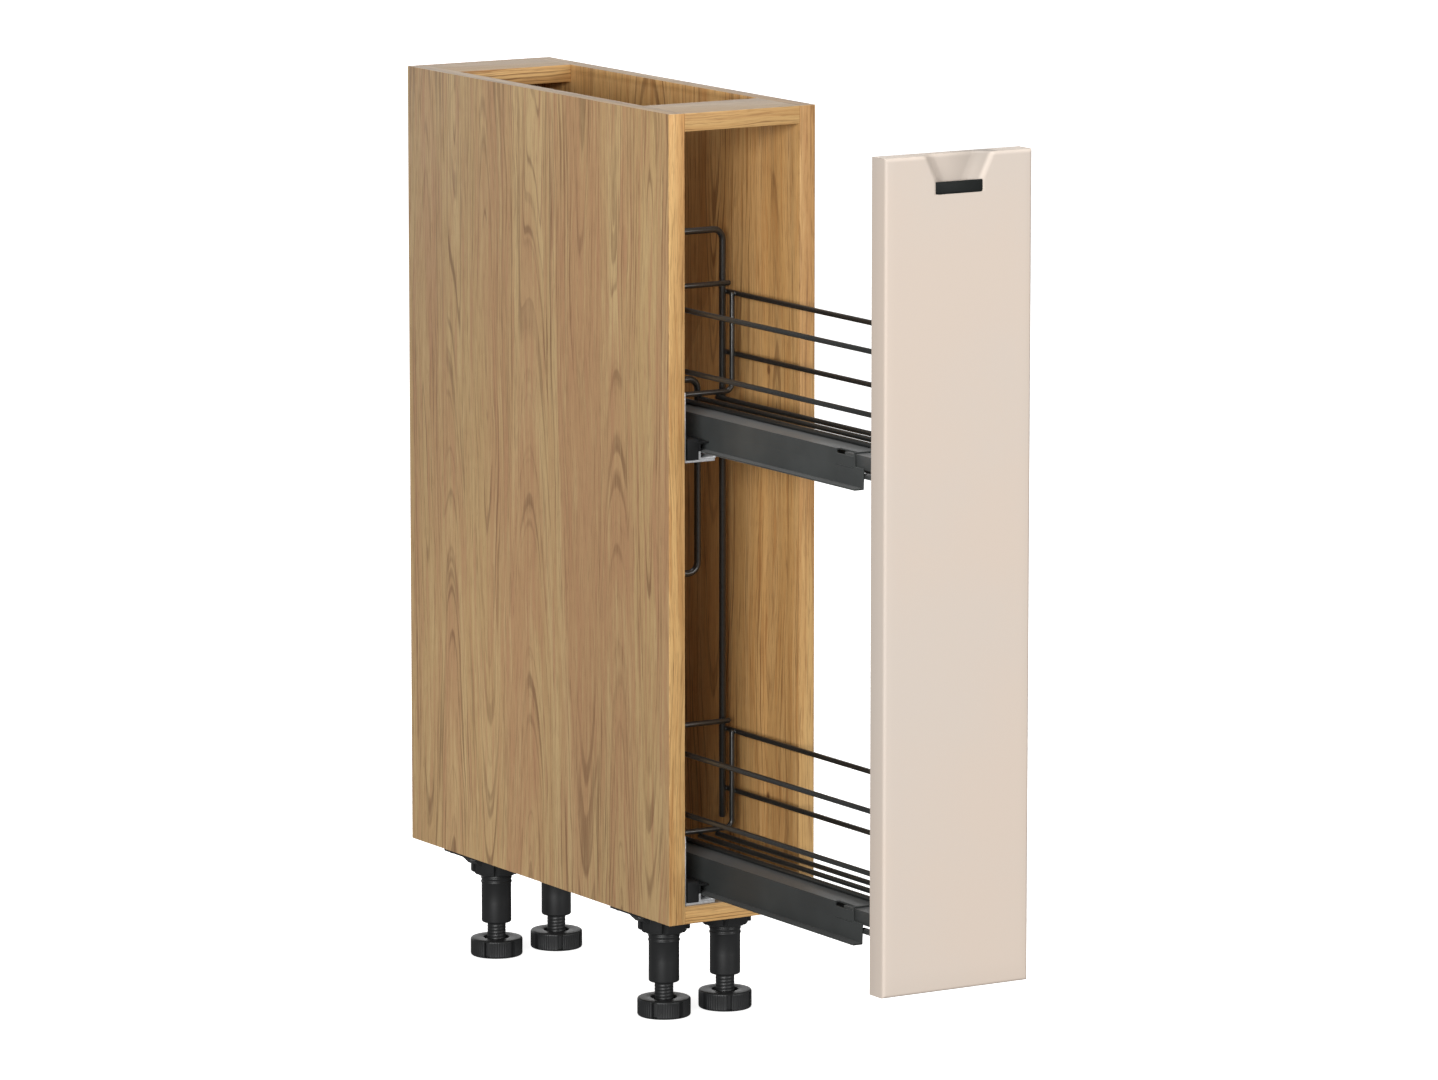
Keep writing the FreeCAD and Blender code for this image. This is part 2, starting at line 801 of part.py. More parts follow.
def make_wall_rail(name, base):
    gauge = size.wall_rail_gauge
    points = [(0, 0), (size.wall_rail_width, 0), (size.wall_rail_width, gauge), (gauge, gauge),
              (gauge, size.wall_rail_height), (0, size.wall_rail_height)]
    front = front_y + size.runner_front_inset
    blank = section(f"{name}_wall_rail_blank", points, size.runner_length, base, front)
    depth = gauge + size.cut_margin
    holes = [pilot(f"rail_hole_{tag}", start, depth, size.screw_radius, AGAINST_X)
             for tag, start in rail_screw_starts() if tag.startswith(name)]
    return cut(f"{name}_wall_rail", blank, holes)


def make_track_rail(name, base):
    gauge = size.wall_rail_gauge
    low, high = gauge, gauge * 2
    lip_end = size.wall_rail_width + size.track_lip
    lip_high = low + size.track_lip
    points = [
        (size.track_start, low), (size.wall_rail_width, low), (lip_end, lip_high),
        (lip_end - size.track_lip_gauge, lip_high + size.track_lip_gauge),
        (lip_end - size.track_lip_gauge * 2 - lip_high + high, high), (size.track_start + gauge, high),
        (size.track_start + gauge, size.track_upstand), (size.track_start, size.track_upstand),
    ]
    return section(f"{name}_track_rail", points, size.runner_length, base, front_y + size.runner_front_inset)


def make_guide_rail(name, base):
    """A T profile that stands on the track, with an end block at its front."""
    gauge = size.guide_gauge
    under = size.guide_top - gauge
    web_end = size.track_start + size.wall_rail_gauge
    web_foot = size.track_upstand + size.fit_gap
    points = [
        (size.track_start, web_foot), (web_end, web_foot), (web_end, under), (size.guide_end, under),
        (size.guide_end, size.guide_top), (size.guide_start, size.guide_top), (size.guide_start, under),
        (size.track_start, under),
    ]
    start = front_y + size.runner_front_inset
    rail = section(f"{name}_guide_profile", points, size.runner_length, base, start)
    across = (-inner_half + size.guide_block_start, -inner_half + size.guide_block_end)
    low = base + size.wall_rail_gauge + size.fit_gap
    block = box(f"{name}_guide_block", across, run_of(start, size.guide_block_length),
                (low, base + size.guide_block_top))
    return fuse(f"{name}_guide_rail", [rail, block])


def cover_nest():
    """The left and right faces of what nests in the cover."""
    nest = size.cover_gauge + size.nest_gap
    return size.cover_start + nest, size.cover_end - nest


def make_mid_rail(name, base):
    gauge = size.mid_gauge
    left, right = cover_nest()
    high, foot = nest_top, track_top + size.pad_gap + size.slide_pad_height
    points = [
        (left, foot), (left + gauge, foot), (left + gauge, high - gauge), (right - gauge, high - gauge),
        (right - gauge, size.mid_skirt_bottom), (right, size.mid_skirt_bottom), (right, high), (left, high),
    ]
    return section(f"{name}_mid_rail", points, size.mid_length, base, mid_start_y())


def mid_start_y():
    """The mid rail has made half of the pull-out's way from its closed place."""
    return front_y + size.mid_front - (size.rest_opening - size.closed_gap) / 2


def make_mid_pads(name, base):
    """Nylon pads under the mid rail that slide in the track."""
    low = base + track_top + size.pad_gap
    height = run_of(low, size.slide_pad_height)
    edge = -inner_half + cover_nest()[0] + size.mid_gauge
    across = (edge - size.slide_pad_width, edge)
    pads = []
    front = mid_start_y()
    rear = front + size.mid_length
    starts = {"front": front + size.front_pad_inset, "rear": rear - size.slide_pad_length}
    for tag, start in starts.items():
        pads.append(box(f"{name}_{tag}_pad", across, run_of(start, size.slide_pad_length), height))
    return group(f"{name}_mid_rail_pads", pads)


def cover_y():
    start = front_y + size.cover_front - (size.rest_opening - size.closed_gap)
    return start, start + size.cover_length


def make_drawer_rail(name, base):
    """A folded cover profile with a notch, a slot and a groove at its front end."""
    gauge = size.cover_gauge
    left, right = size.cover_start, size.cover_end
    low, high, crease = size.cover_bottom, size.cover_top, size.cover_crease
    points = [
        (size.cover_flange_start, low), (left + gauge - size.cover_lean, low), (left + gauge, crease),
        (left + gauge, high - gauge), (right - gauge, high - gauge), (right - gauge, size.cover_right_bottom),
        (right, size.cover_right_bottom), (right, high), (left, high), (left, crease),
        (left - size.cover_lean, low + gauge), (size.cover_flange_start, low + gauge),
    ]
    start, end = cover_y()
    blank = section(f"{name}_cover_profile", points, size.cover_length, base, start)
    wall_x = -inner_half
    over = base + high + size.cut_margin
    slot_y = run_of(start + size.cover_slot_start, size.cover_slot_length)
    notch = box(f"{name}_cover_notch", (wall_x, wall_x + right + size.cut_margin),
                (start - size.cut_margin, start + size.cover_notch), (base + crease + gauge, over))
    slot = box(f"{name}_cover_slot", (wall_x, wall_x + left + size.cover_slot_depth), slot_y,
               (base + high - size.cover_slot_depth, over))
    groove = box(f"{name}_cover_groove", (wall_x, wall_x + left + size.cover_groove), slot_y,
                 around(base + crease, size.cover_groove / 2))
    return cut(f"{name}_drawer_rail", blank, [notch, slot, groove])


def bracket_screw_starts(name, base):
    wall_x = -inner_half
    middle = wall_x + (size.bracket_foot_start + size.bracket_foot_end) / 2
    y = panel_back_y + size.bracket_gauge
    return [(f"{name}_high", (middle, y, base + size.bracket_foot_top - size.bracket_screw_inset)),
            (f"{name}_low", (middle, y, base + size.bracket_foot_bottom + size.bracket_screw_inset))]


def make_front_bracket(name, base):
    """A hood nested in the drawer rail, with a foot plate on the panel and a lower arm."""
    wall_x = -inner_half
    gauge = size.bracket_gauge
    start = panel_back_y
    hood_y = (start, cover_y()[0] + size.bracket_nest)
    left, right = (wall_x + face for face in cover_nest())
    low, high = base + size.bracket_bottom, base + nest_top
    foot_x = (wall_x + size.bracket_foot_start, wall_x + size.bracket_foot_end)
    foot_z = (base + size.bracket_foot_bottom, base + size.bracket_foot_top)
    arm_x = (wall_x + size.bracket_arm_start, wall_x + size.bracket_arm_end)
    arm_z = (base + size.bracket_arm_bottom, base + size.bracket_arm_top)
    blank = fuse(f"{name}_hood", [
        box(f"{name}_hood_top", (left, right), hood_y, (high - gauge, high)),
        box(f"{name}_hood_left", (left, left + gauge), hood_y, (low, high)),
        box(f"{name}_hood_right", (right - gauge, right), hood_y, (low, high)),
        box(f"{name}_hood_foot", foot_x, run_of(start, gauge), foot_z),
        box(f"{name}_hood_arm", arm_x, run_of(start, size.bracket_arm_length), arm_z),
    ])
    depth = gauge + size.cut_margin
    holes = [pilot(f"bracket_hole_{tag}", point, depth, size.small_screw_radius, AGAINST_Y)
             for tag, point in bracket_screw_starts(name, base)]
    return cut(f"{name}_front_bracket", blank, holes)


def make_runners(nodes):
    for name, base in RUNNERS.items():
        nodes.append(make_wall_rail(name, base))
        nodes.append(make_track_rail(name, base))
        nodes.append(make_guide_rail(name, base))
        nodes.append(make_mid_rail(name, base))
        nodes.append(make_mid_pads(name, base))
        nodes.append(make_drawer_rail(name, base))
        nodes.append(make_front_bracket(name, base))
    screws = [screw(f"rail_screw_{tag}", start, "-X") for tag, start in rail_screw_starts()]
    nodes.append(group("wall_rail_screws", screws))


# Baskets: two welded wire baskets on the drawer rails, tied by a bent rear frame.

def wire_span():
    return panel_back_y + size.tab_gauge, front_y + size.wire_rear


def make_side_wires(name, base):
    start, end = wire_span()
    wires = []
    for side, sign in (("left", -1), ("right", 1)):
        for level, rise in (("low", size.lower_wire_rise), ("high", size.upper_wire_rise)):
            place_ = (wire_half * sign, start, base + basket_rise + rise)
            wires.append(rod(f"{name}_{side}_{level}_wire", place_, end - start, size.wire_radius, ALONG_Y))
    return group(f"{name}_basket_side_wires", wires)


def hoop_places():
    return {"rear": front_y + size.rear_hoop, "front": panel_back_y + size.front_hoop_inset}


def make_floor_wires(name, base):
    hoops = hoop_places()
    start = hoops["front"] - size.floor_wire_overrun
    length = hoops["rear"] + size.floor_wire_overrun - start
    height = base + basket_rise - size.wire_radius * 2
    wires = []
    for step in range(3):
        x = size.floor_wire_first + size.floor_wire_pitch * step
        wires.append(rod(f"{name}_floor_wire_{step}", (x, start, height), length, size.wire_radius, ALONG_Y))
    return group(f"{name}_basket_floor_wires", wires)


def make_hoop(name, base, end):
    """A U of wire: two posts inside the side wires and a floor bar over the drawer rail."""
    y = hoop_places()[end]
    side = wire_half - size.wire_radius * 2
    low = base + basket_rise
    high = low + size.hoop_top_rise
    points = [(-side, y, high), (-side, y, low), (side, y, low), (side, y, high)]
    return bent_wire(f"{name}_basket_{end}_hoop", points, size.hoop_bend, size.wire_radius)


def frame_leg():
    return wire_half - size.wire_radius - size.frame_wire_radius


def make_rear_frame():
    """One bent wire: both legs, the top bar and the left leg's way round the upper runner."""
    y = front_y + size.frame_plane
    leg = frame_leg()
    foot, top = lower_rail_z + size.frame_foot_rise, top_z - size.frame_top_gap
    jog_high, jog_low = upper_rail_z + size.jog_above_rail, upper_rail_z - size.jog_below_rail
    points = [
        (leg, y, foot), (leg, y, top), (-leg, y, top), (-leg, y, jog_high), (size.jog_centre, y, jog_high),
        (size.jog_centre, y, jog_low), (-leg, y, jog_low), (-leg, y, foot),
    ]
    return bent_wire("rear_frame", points, size.frame_bend, size.frame_wire_radius)


def make_cross_rods():
    rods = []
    reach = frame_leg() + size.rod_end_overhang
    y = front_y + size.frame_plane - size.frame_wire_radius - size.wire_radius
    for name, base in RUNNERS.items():
        rods.append(rod(f"{name}_cross_rod", (-reach, y, base + basket_rise + size.rod_rise), reach * 2,
                        size.wire_radius, ALONG_X))
    return group("rear_cross_rods", rods)


def tab_spans(name, base):
    """The four upright steel tabs that carry the wire ends on the panel."""
    low = base + basket_rise + size.lower_wire_rise - size.tab_foot
    high = base + basket_rise + size.upper_wire_rise + size.tab_head + size.wire_radius
    middle = wire_half - size.tab_offset
    return [(f"{name}_{side}", middle * sign, low, high) for side, sign in (("left", -1), ("right", 1))]


def tab_screw_starts():
    starts = []
    for name, base in RUNNERS.items():
        for tag, middle, low, high in tab_spans(name, base):
            y = panel_back_y + size.tab_gauge
            upper = high - size.tab_head - size.wire_radius - size.tab_screw_inset
            lower = low + size.tab_foot + size.tab_screw_inset
            starts.append((f"{tag}_upper", (middle, y, upper)))
            starts.append((f"{tag}_lower", (middle, y, lower)))
    return starts


def make_tabs():
    tabs = []
    for name, base in RUNNERS.items():
        for tag, middle, low, high in tab_spans(name, base):
            tab_y = run_of(panel_back_y, size.tab_gauge)
            blank = box(f"{tag}_tab_blank", around(middle, size.tab_half_width), tab_y, (low, high))
            depth = size.tab_gauge + size.cut_margin
            holes = [pilot(f"tab_hole_{hole_tag}", start, depth, size.small_screw_radius, AGAINST_Y)
                     for hole_tag, start in tab_screw_starts() if hole_tag.startswith(tag)]
            tabs.append(cut(f"{tag}_tab", blank, holes))
    return group("basket_front_tabs", tabs)


def make_baskets(nodes):
    for name, base in RUNNERS.items():
        nodes.append(make_side_wires(name, base))
        nodes.append(make_floor_wires(name, base))
        nodes.append(make_hoop(name, base, "rear"))
        nodes.append(make_hoop(name, base, "front"))
    nodes.append(make_rear_frame())
    nodes.append(make_cross_rods())
    nodes.append(make_tabs())
    screws = [screw(f"tab_screw_{tag}", start, "-Y", small=True) for tag, start in tab_screw_starts()]
    for name, base in RUNNERS.items():
        screws += [screw(f"bracket_screw_{tag}", start, "-Y", small=True)
                   for tag, start in bracket_screw_starts(name, base)]
    nodes.append(group("front_panel_screws", screws))


# Front panel with its finger scoop, and the dark insert across the scoop's foot.

def scoop_outline(extra, depth_share):
    """The scoop's outline at a share of its depth, from the panel's bottom left corner."""
    middle = panel_width / 2
    inset = size.scoop_bevel * depth_share
    rise = size.cut_margin
    slope = (size.scoop_top_half - size.scoop_foot_half) / size.scoop_foot
    top_half = size.scoop_top_half + slope * rise - inset
    foot_half = size.scoop_foot_half - inset
    top = panel_height + rise
    foot = panel_height - size.scoop_foot
    floor = panel_height - size.scoop_floor
    return [(middle - top_half, top), (middle - foot_half, foot), (middle - foot_half, floor),
            (middle + foot_half, floor), (middle + foot_half, foot), (middle + top_half, top)]


def insert_span():
    """The insert's foot and head heights on the panel."""
    foot = panel_height - size.scoop_floor
    return foot, foot + size.insert_height


def insert_screw_starts():
    foot = floor_z + insert_span()[0]
    y = panel_front_y + size.insert_gauge + size.insert_ledge / 2
    height = foot + size.insert_ledge_gauge
    reach = size.insert_screw_spacing / 2
    return [("left", (-reach, y, height)), ("right", (reach, y, height))]


def make_front_panel():
    body = new_body("front_panel_body")
    width, height, thick = panel_width, panel_height, size.panel_thickness
    corners = [(0, 0), (width, 0), (width, height), (0, height)]
    board = pad(body, outline(body, "XZ_Plane", corners), thick, reverse=True)

    def on_front(edge, middle):
        return abs(middle.y) < size.fit_gap.value

    def on_back(edge, middle):
        return abs(middle.y - thick.value) < size.fit_gap.value

    front_round = round_edges(body, board, size.panel_front_round, on_front)
    round_edges(body, front_round, size.panel_back_round, on_back)
    run_out_share = size.cut_margin / size.scoop_depth
    near = outline(body, "XZ_Plane", scoop_outline(size.cut_margin, -run_out_share), offset=size.cut_margin)
    far = outline(body, "XZ_Plane", scoop_outline(NIL, as_length(1)), offset=-size.scoop_depth)
    scoop = body.newObject("PartDesign::SubtractiveLoft", "scoop")
    scoop.Profile = near
    scoop.Sections = [far]
    scoop.Ruled = True
    body.Tip = scoop

    half = size.scoop_foot_half.value
    limit = size.scoop_depth.value - size.fit_gap.value

    def at_back_of_scoop(edge, middle):
        x_from_middle = abs(middle.x - width.value / 2)
        along_wall = size.fit_gap.value < x_from_middle < half + size.scoop_top_half.value
        upright = abs(edge.Vertexes[0].Z - edge.Vertexes[-1].Z) > size.scoop_round.value
        return limit < middle.y < limit + size.fit_gap.value * 2 and along_wall and upright

    round_edges(body, scoop, size.scoop_round, at_back_of_scoop)
    place(body, -width / 2, panel_front_y, floor_z)

    foot, head = insert_span()
    seat_gap = size.insert_seat_gap
    seat = box("insert_seat", (-size.insert_half_width - seat_gap, size.insert_half_width + seat_gap),
               (panel_front_y - size.cut_margin, panel_front_y + size.insert_gauge),
               (floor_z + foot - seat_gap, floor_z + head + seat_gap))
    screws = [(tag, start, AGAINST_Y) for tag, start in tab_screw_starts()]
    for name, base in RUNNERS.items():
        screws += [(f"bracket_{tag}", start, AGAINST_Y) for tag, start in bracket_screw_starts(name, base)]
    screws += [(f"insert_{tag}", start, AGAINST_Z) for tag, start in insert_screw_starts()]
    holes = [pilot(f"panel_hole_{tag}", start, size.small_screw_length, size.small_screw_radius, turn)
             for tag, start, turn in screws]
    return cut("front_panel", body, [seat] + holes)


def make_insert():
    """A thin plate with rounded ends, and a ledge behind it on the pocket's floor."""
    foot, head = insert_span()
    near = panel_front_y
    far = near + size.insert_gauge
    half = size.insert_half_width
    body = new_body("insert_plate_body")
    width = half * 2
    corners = [(0, 0), (width, 0), (width, size.insert_height), (0, size.insert_height)]
    plate = pad(body, outline(body, "XZ_Plane", corners), size.insert_gauge, reverse=True)

    def low_corner(edge, middle):
        across = abs(edge.Vertexes[0].Y - edge.Vertexes[-1].Y) > size.insert_gauge.value / 2
        return across and middle.z < size.insert_height.value / 2

    round_edges(body, plate, size.insert_round, low_corner)
    place(body, -half, near, floor_z + foot)
    low = floor_z + foot
    ledge = box("insert_ledge_blank", (-size.insert_ledge_half, size.insert_ledge_half),
                (near + size.insert_gauge / 2, far + size.insert_ledge), run_of(low, size.insert_ledge_gauge))
    solid = fuse("insert_blank", [body, ledge])
    depth = size.insert_ledge_gauge + size.cut_margin
    holes = [pilot(f"insert_hole_{tag}", start, depth, size.small_screw_radius, AGAINST_Z)
             for tag, start in insert_screw_starts()]
    return cut("handle_insert", solid, holes)


def make_bumpers():
    """Soft dots on the panel's back that meet the carcass edges when it shuts."""
    dots = []
    x = half_width - size.board / 2
    heights = (floor_z + size.bumper_inset, floor_z + panel_height - size.bumper_inset)
    for side, sign in (("left", -1), ("right", 1)):
        for level, height in zip(("low", "high"), heights):
            start = (x * sign, panel_back_y, height)
            dots.append(rod(f"bumper_{side}_{level}", start, size.bumper_height, size.bumper_radius, ALONG_Y))
    return group("panel_bumpers", dots)


def make_front(nodes):
    nodes.append(make_front_panel())
    nodes.append(make_insert())
    screws = [screw(f"insert_screw_{tag}", start, "-Z", small=True) for tag, start in insert_screw_starts()]
    nodes.append(group("handle_insert_screws", screws))
    nodes.append(make_bumpers())


def check(nodes):
    for item in doc.Objects:
        bad = [state for state in item.State if state in ("Invalid", "Error")]
        if bad:
            raise RuntimeError(f"{item.Label} is {bad}")
    for node in nodes:
        if node.Shape.isNull() or not node.Shape.isValid() or not node.Shape.Solids:
            raise RuntimeError(f"{node.Label} has no valid solid")
    labels = [node.Label for node in nodes]
    if len(set(labels)) != len(labels):
        raise RuntimeError("two sub-parts share a label")


def main():
    nodes = []
    make_carcass(nodes)
    make_legs(nodes)
    make_runners(nodes)
    make_baskets(nodes)
    make_front(nodes)
    doc.recompute()
    check(nodes)
    os.makedirs("parts", exist_ok=True)
    for node in nodes:
        node.Shape.exportStep(f"parts/{node.Label}.step")
        print(f"{node.Label}: {len(node.Shape.Solids)} solids, {node.Shape.Volume:.0f} mm3")
    print(f"{len(nodes)} sub-parts")


main()
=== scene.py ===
import json
import math

import bmesh
import bpy
from mathutils import Matrix, Vector


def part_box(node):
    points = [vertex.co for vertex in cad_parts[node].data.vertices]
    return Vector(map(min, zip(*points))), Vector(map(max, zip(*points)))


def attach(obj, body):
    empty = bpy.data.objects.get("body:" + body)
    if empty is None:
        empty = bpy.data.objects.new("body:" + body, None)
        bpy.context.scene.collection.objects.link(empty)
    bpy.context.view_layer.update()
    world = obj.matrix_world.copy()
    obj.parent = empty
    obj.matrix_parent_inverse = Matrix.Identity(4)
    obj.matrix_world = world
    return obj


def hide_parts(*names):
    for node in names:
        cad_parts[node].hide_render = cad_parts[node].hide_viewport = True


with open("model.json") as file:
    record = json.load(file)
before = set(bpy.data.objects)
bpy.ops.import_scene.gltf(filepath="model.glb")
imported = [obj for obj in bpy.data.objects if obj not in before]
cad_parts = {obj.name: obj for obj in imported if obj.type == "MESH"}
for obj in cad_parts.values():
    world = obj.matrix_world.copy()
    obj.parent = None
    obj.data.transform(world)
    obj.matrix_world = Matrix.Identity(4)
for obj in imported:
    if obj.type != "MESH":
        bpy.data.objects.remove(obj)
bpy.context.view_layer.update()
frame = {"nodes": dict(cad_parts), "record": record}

MM = 0.001
record = frame["record"]
BODY_OF = {node: body for body, nodes in record["behaviour"]["bodies"].items() for node in nodes}


# Materials

class Shade:
    """One procedural material, put together from node sockets. Places are in metres."""

    def __init__(self, name, **numbers):
        self.material = bpy.data.materials.new(name)
        self.material.use_nodes = True
        self.tree = self.material.node_tree
        self.tree.nodes.clear()
        output = self.tree.nodes.new("ShaderNodeOutputMaterial")
        self.shader = self.tree.nodes.new("ShaderNodeBsdfPrincipled")
        self.tree.links.new(self.shader.outputs["BSDF"], output.inputs["Surface"])
        coordinates = self.tree.nodes.new("ShaderNodeTexCoord")
        self.place = coordinates.outputs["Object"]
        self.normal = coordinates.outputs["Normal"]
        for socket, number in numbers.items():
            self.shader.inputs[socket.replace("_", " ")].default_value = number

    def feed(self, socket, value):
        if isinstance(value, bpy.types.NodeSocket):
            self.tree.links.new(value, socket)
        else:
            socket.default_value = value

    def sum(self, operation, *values):
        node = self.tree.nodes.new("ShaderNodeMath")
        node.operation = operation
        for socket, value in zip(node.inputs, values):
            self.feed(socket, value)
        return node.outputs[0]

    def add(self, a, b):
        return self.sum("ADD", a, b)

    def times(self, a, b):
        return self.sum("MULTIPLY", a, b)

    def mixed(self, a, share, b):
        """The share of a, and the rest of b."""
        return self.add(self.times(a, share), self.times(b, 1 - share))

    def squares(self, a, b):
        return self.add(self.times(a, a), self.times(b, b))

    def split(self, vector):
        node = self.tree.nodes.new("ShaderNodeSeparateXYZ")
        self.feed(node.inputs[0], vector)
        return list(node.outputs)

    def vector(self, x, y, z):
        node = self.tree.nodes.new("ShaderNodeCombineXYZ")
        for socket, value in zip(node.inputs, (x, y, z)):
            self.feed(socket, value)
        return node.outputs[0]

    def noise(self, at, scale, detail=2.0, roughness=0.5, distortion=0.0):
        node = self.tree.nodes.new("ShaderNodeTexNoise")
        self.feed(node.inputs["Vector"], at)
        node.inputs["Scale"].default_value = scale
        node.inputs["Detail"].default_value = detail
        node.inputs["Roughness"].default_value = roughness
        node.inputs["Distortion"].default_value = distortion
        return node.outputs[0]

    def spread(self, value, low, high, to_low=0.0, to_high=1.0):
        """Value from low to high, eased to run from to_low to to_high."""
        node = self.tree.nodes.new("ShaderNodeMapRange")
        node.interpolation_type = "SMOOTHSTEP"
        for socket, number in zip(node.inputs, (value, low, high, to_low, to_high)):
            self.feed(socket, number)
        return node.outputs[0]

    def blend(self, share, a, b):
        node = self.tree.nodes.new("ShaderNodeMix")
        for index, value in ((0, share), (2, a), (3, b)):
            self.feed(node.inputs[index], value)
        return node.outputs[0]

    def colour(self, share, a, b, kind="MIX"):
        node = self.tree.nodes.new("ShaderNodeMix")
        node.data_type = "RGBA"
        node.blend_type = kind
        for index, value in ((0, share), (6, a), (7, b)):
            self.feed(node.inputs[index], tone(value) if isinstance(value, tuple) else value)
        return node.outputs[2]

    def base(self, colour):
        self.feed(self.shader.inputs["Base Color"], colour)

    def rough(self, value):
        self.feed(self.shader.inputs["Roughness"], value)

    def bump(self, height, depth, strength=1.0):
        node = self.tree.nodes.new("ShaderNodeBump")
        node.inputs["Strength"].default_value = strength
        node.inputs["Distance"].default_value = depth
        self.feed(node.inputs["Height"], height)
        self.tree.links.new(node.outputs[0], self.shader.inputs["Normal"])


def tone(rgb):
    return (*rgb, 1.0)


def toned(tones, share):
    """The tones, each made lighter or darker by the same share."""
    return tuple(tuple(channel * share for channel in rgb) for rgb in tones)


WANDERS = ((9, 2.3, 0.034), (48, 7.0, 0.0075), (150, 24.0, 0.0021))
REDS = 0.6
KNOT_DARK = (0.05, 0.02, 0.009)
PALER_GAIN = (1.4, 1.4, 1.4)
# Painted sheen: faces that look up are mixed towards this grey, as if lit from above.
UPWARD_SHEEN_TONE, UPWARD_SHEEN_SHARE = (0.305, 0.303, 0.278), 0.55


def oak(name, axes, tones, hearts=(), knots=(), seed=0.0, rings=0.5, pores=0.3, pitch=0.0024,
        paler=None):
    """Laminated oak. axes names the directions across the grain, through the board and along it.
    The grain wanders by a reach in metres, at a number of waves per metre across and along.
    Each heart is a place that growth rings arch round: across, along, and how fast they open out.
    Each knot is a place, across and along, and a size. paler gives the spreads, across and along,
    over which the board is lighter. Faces that look up are greyer by a painted sheen of light
    from above."""
    pale, tan, red, dark = tones
    s = Shade(name, Roughness=0.5, Specular_IOR_Level=0.3)
    xyz = dict(zip("XYZ", s.split(s.place)))
    facing = dict(zip("XYZ", s.split(s.normal)))
    across, through, along = (xyz[axis] for axis in axes)
    end_face = s.sum("GREATER_THAN", s.sum("ABSOLUTE", facing[axes[2]]), 0.7)
    w = s.blend(end_face, across, through)
    g = s.blend(end_face, along, across)
    depth = s.add(s.times(s.blend(end_face, through, along), 0.35), seed)

    def layer(per_across, per_along, detail=2.0, roughness=0.5, at=None):
        spot = s.vector(s.times(w if at is None else at, per_across), s.times(depth, 31.7),
                        s.times(g, per_along))
        return s.noise(spot, 1.0, detail, roughness)

    for per_across, per_along, reach in WANDERS:
        w = s.add(w, s.times(s.add(layer(per_across, per_along, 2.0), -0.5), reach))
    field = w
    for number, (place, rise, opening) in enumerate(hearts):
        aside = s.add(w, -place)
        up = s.times(s.add(g, -rise), opening)
        reach = s.sum("SQRT", s.add(s.squares(aside, up), 2e-6))
        field = reach if number == 0 else s.sum("SMOOTH_MIN", field, reach, 0.006)

    groups = layer(75, 1.0, 2.0, 0.5, field)
    ring = layer(1 / pitch, 4.0, 2.0, 0.55, field)
    broad = layer(13, 0.9, 2.0)
    streak = layer(230, 8.0, 3.0, 0.65)
    patch = layer(26, 5.0, 2.0)
    dash = layer(800, 26.0, 2.0, 0.6)
    thread = layer(2200, 60.0, 2.0, 0.6)

    colour = s.colour(s.spread(groups, 0.34, 0.66, 0.15, 0.85), pale, tan)
    reddish = s.spread(s.mixed(broad, 0.6, groups), 0.5, 0.62)
    colour = s.colour(s.times(reddish, REDS), colour, red)
    colour = s.colour(s.times(s.spread(streak, 0.48, 0.66), 0.75), colour, red)
    colour = s.colour(s.times(s.spread(streak, 0.32, 0.46, 1.0, 0.0), 0.55), colour, pale)
    ring_mask = s.spread(ring, 0.52, 0.64)
    shown = s.spread(patch, 0.36, 0.62, 0.25, 1.0)
    colour = s.colour(s.times(s.times(ring_mask, shown), rings), colour, dark)

    for knot_across, knot_along, size in knots:
        offset = s.times(s.add(across, -knot_across), 1 / size)
        rise = s.times(s.add(g, -knot_along), 0.6 / size)
        away = s.sum("SQRT", s.squares(offset, rise))
        colour = s.colour(s.spread(away, 0.7, 1.6, 0.95, 0.0), colour, KNOT_DARK)
        colour = s.colour(s.spread(away, 1.2, 3.4, 0.35, 0.0), colour, red)

    dashes = s.times(s.spread(dash, 0.5, 0.68), s.spread(ring, 0.36, 0.6, 0.35, 1.0))
    colour = s.colour(s.times(dashes, pores), colour, dark)
    colour = s.colour(s.times(s.spread(dash, 0.28, 0.42, 1.0, 0.0), pores * 0.5), colour, pale)
    pits = s.spread(thread, 0.56, 0.68)
    colour = s.colour(s.times(pits, pores * 0.8), colour, dark)
    if paler:
        by_across, by_along = paler
        zone = s.times(s.spread(across, *by_across), s.spread(along, *by_along))
        colour = s.colour(zone, colour, PALER_GAIN, "MULTIPLY")
    # Painted sheen of light from above on faces that look up.
    colour = s.colour(s.spread(facing["Z"], 0.6, 0.9, 0.0, UPWARD_SHEEN_SHARE), colour, UPWARD_SHEEN_TONE)
    s.base(colour)
    s.rough(s.spread(s.add(dash, s.times(pits, 0.4)), 0.3, 0.9, 0.44, 0.6))
    s.bump(s.add(s.times(dash, 0.6), s.times(pits, -0.5)), 0.00012, 0.5)
    return s


def powder_coat(name, colour, shine, roughness=0.46, sheen=0.0):
    """Fine satin powder coat on steel."""
    s = Shade(name, Specular_IOR_Level=shine, Sheen_Weight=sheen, Sheen_Roughness=0.4)
    grain = s.noise(s.place, 2600.0, 3.0, 0.6)
    cloud = s.noise(s.place, 22.0, 2.0)
    lighter = tuple(channel * 1.35 for channel in colour)
    s.base(s.colour(s.spread(s.mixed(cloud, 0.7, grain), 0.35, 0.65), colour, lighter))
    s.rough(s.spread(grain, 0.3, 0.7, roughness - 0.05, roughness + 0.07))
    s.bump(grain, 0.00006, 0.35)
    return s


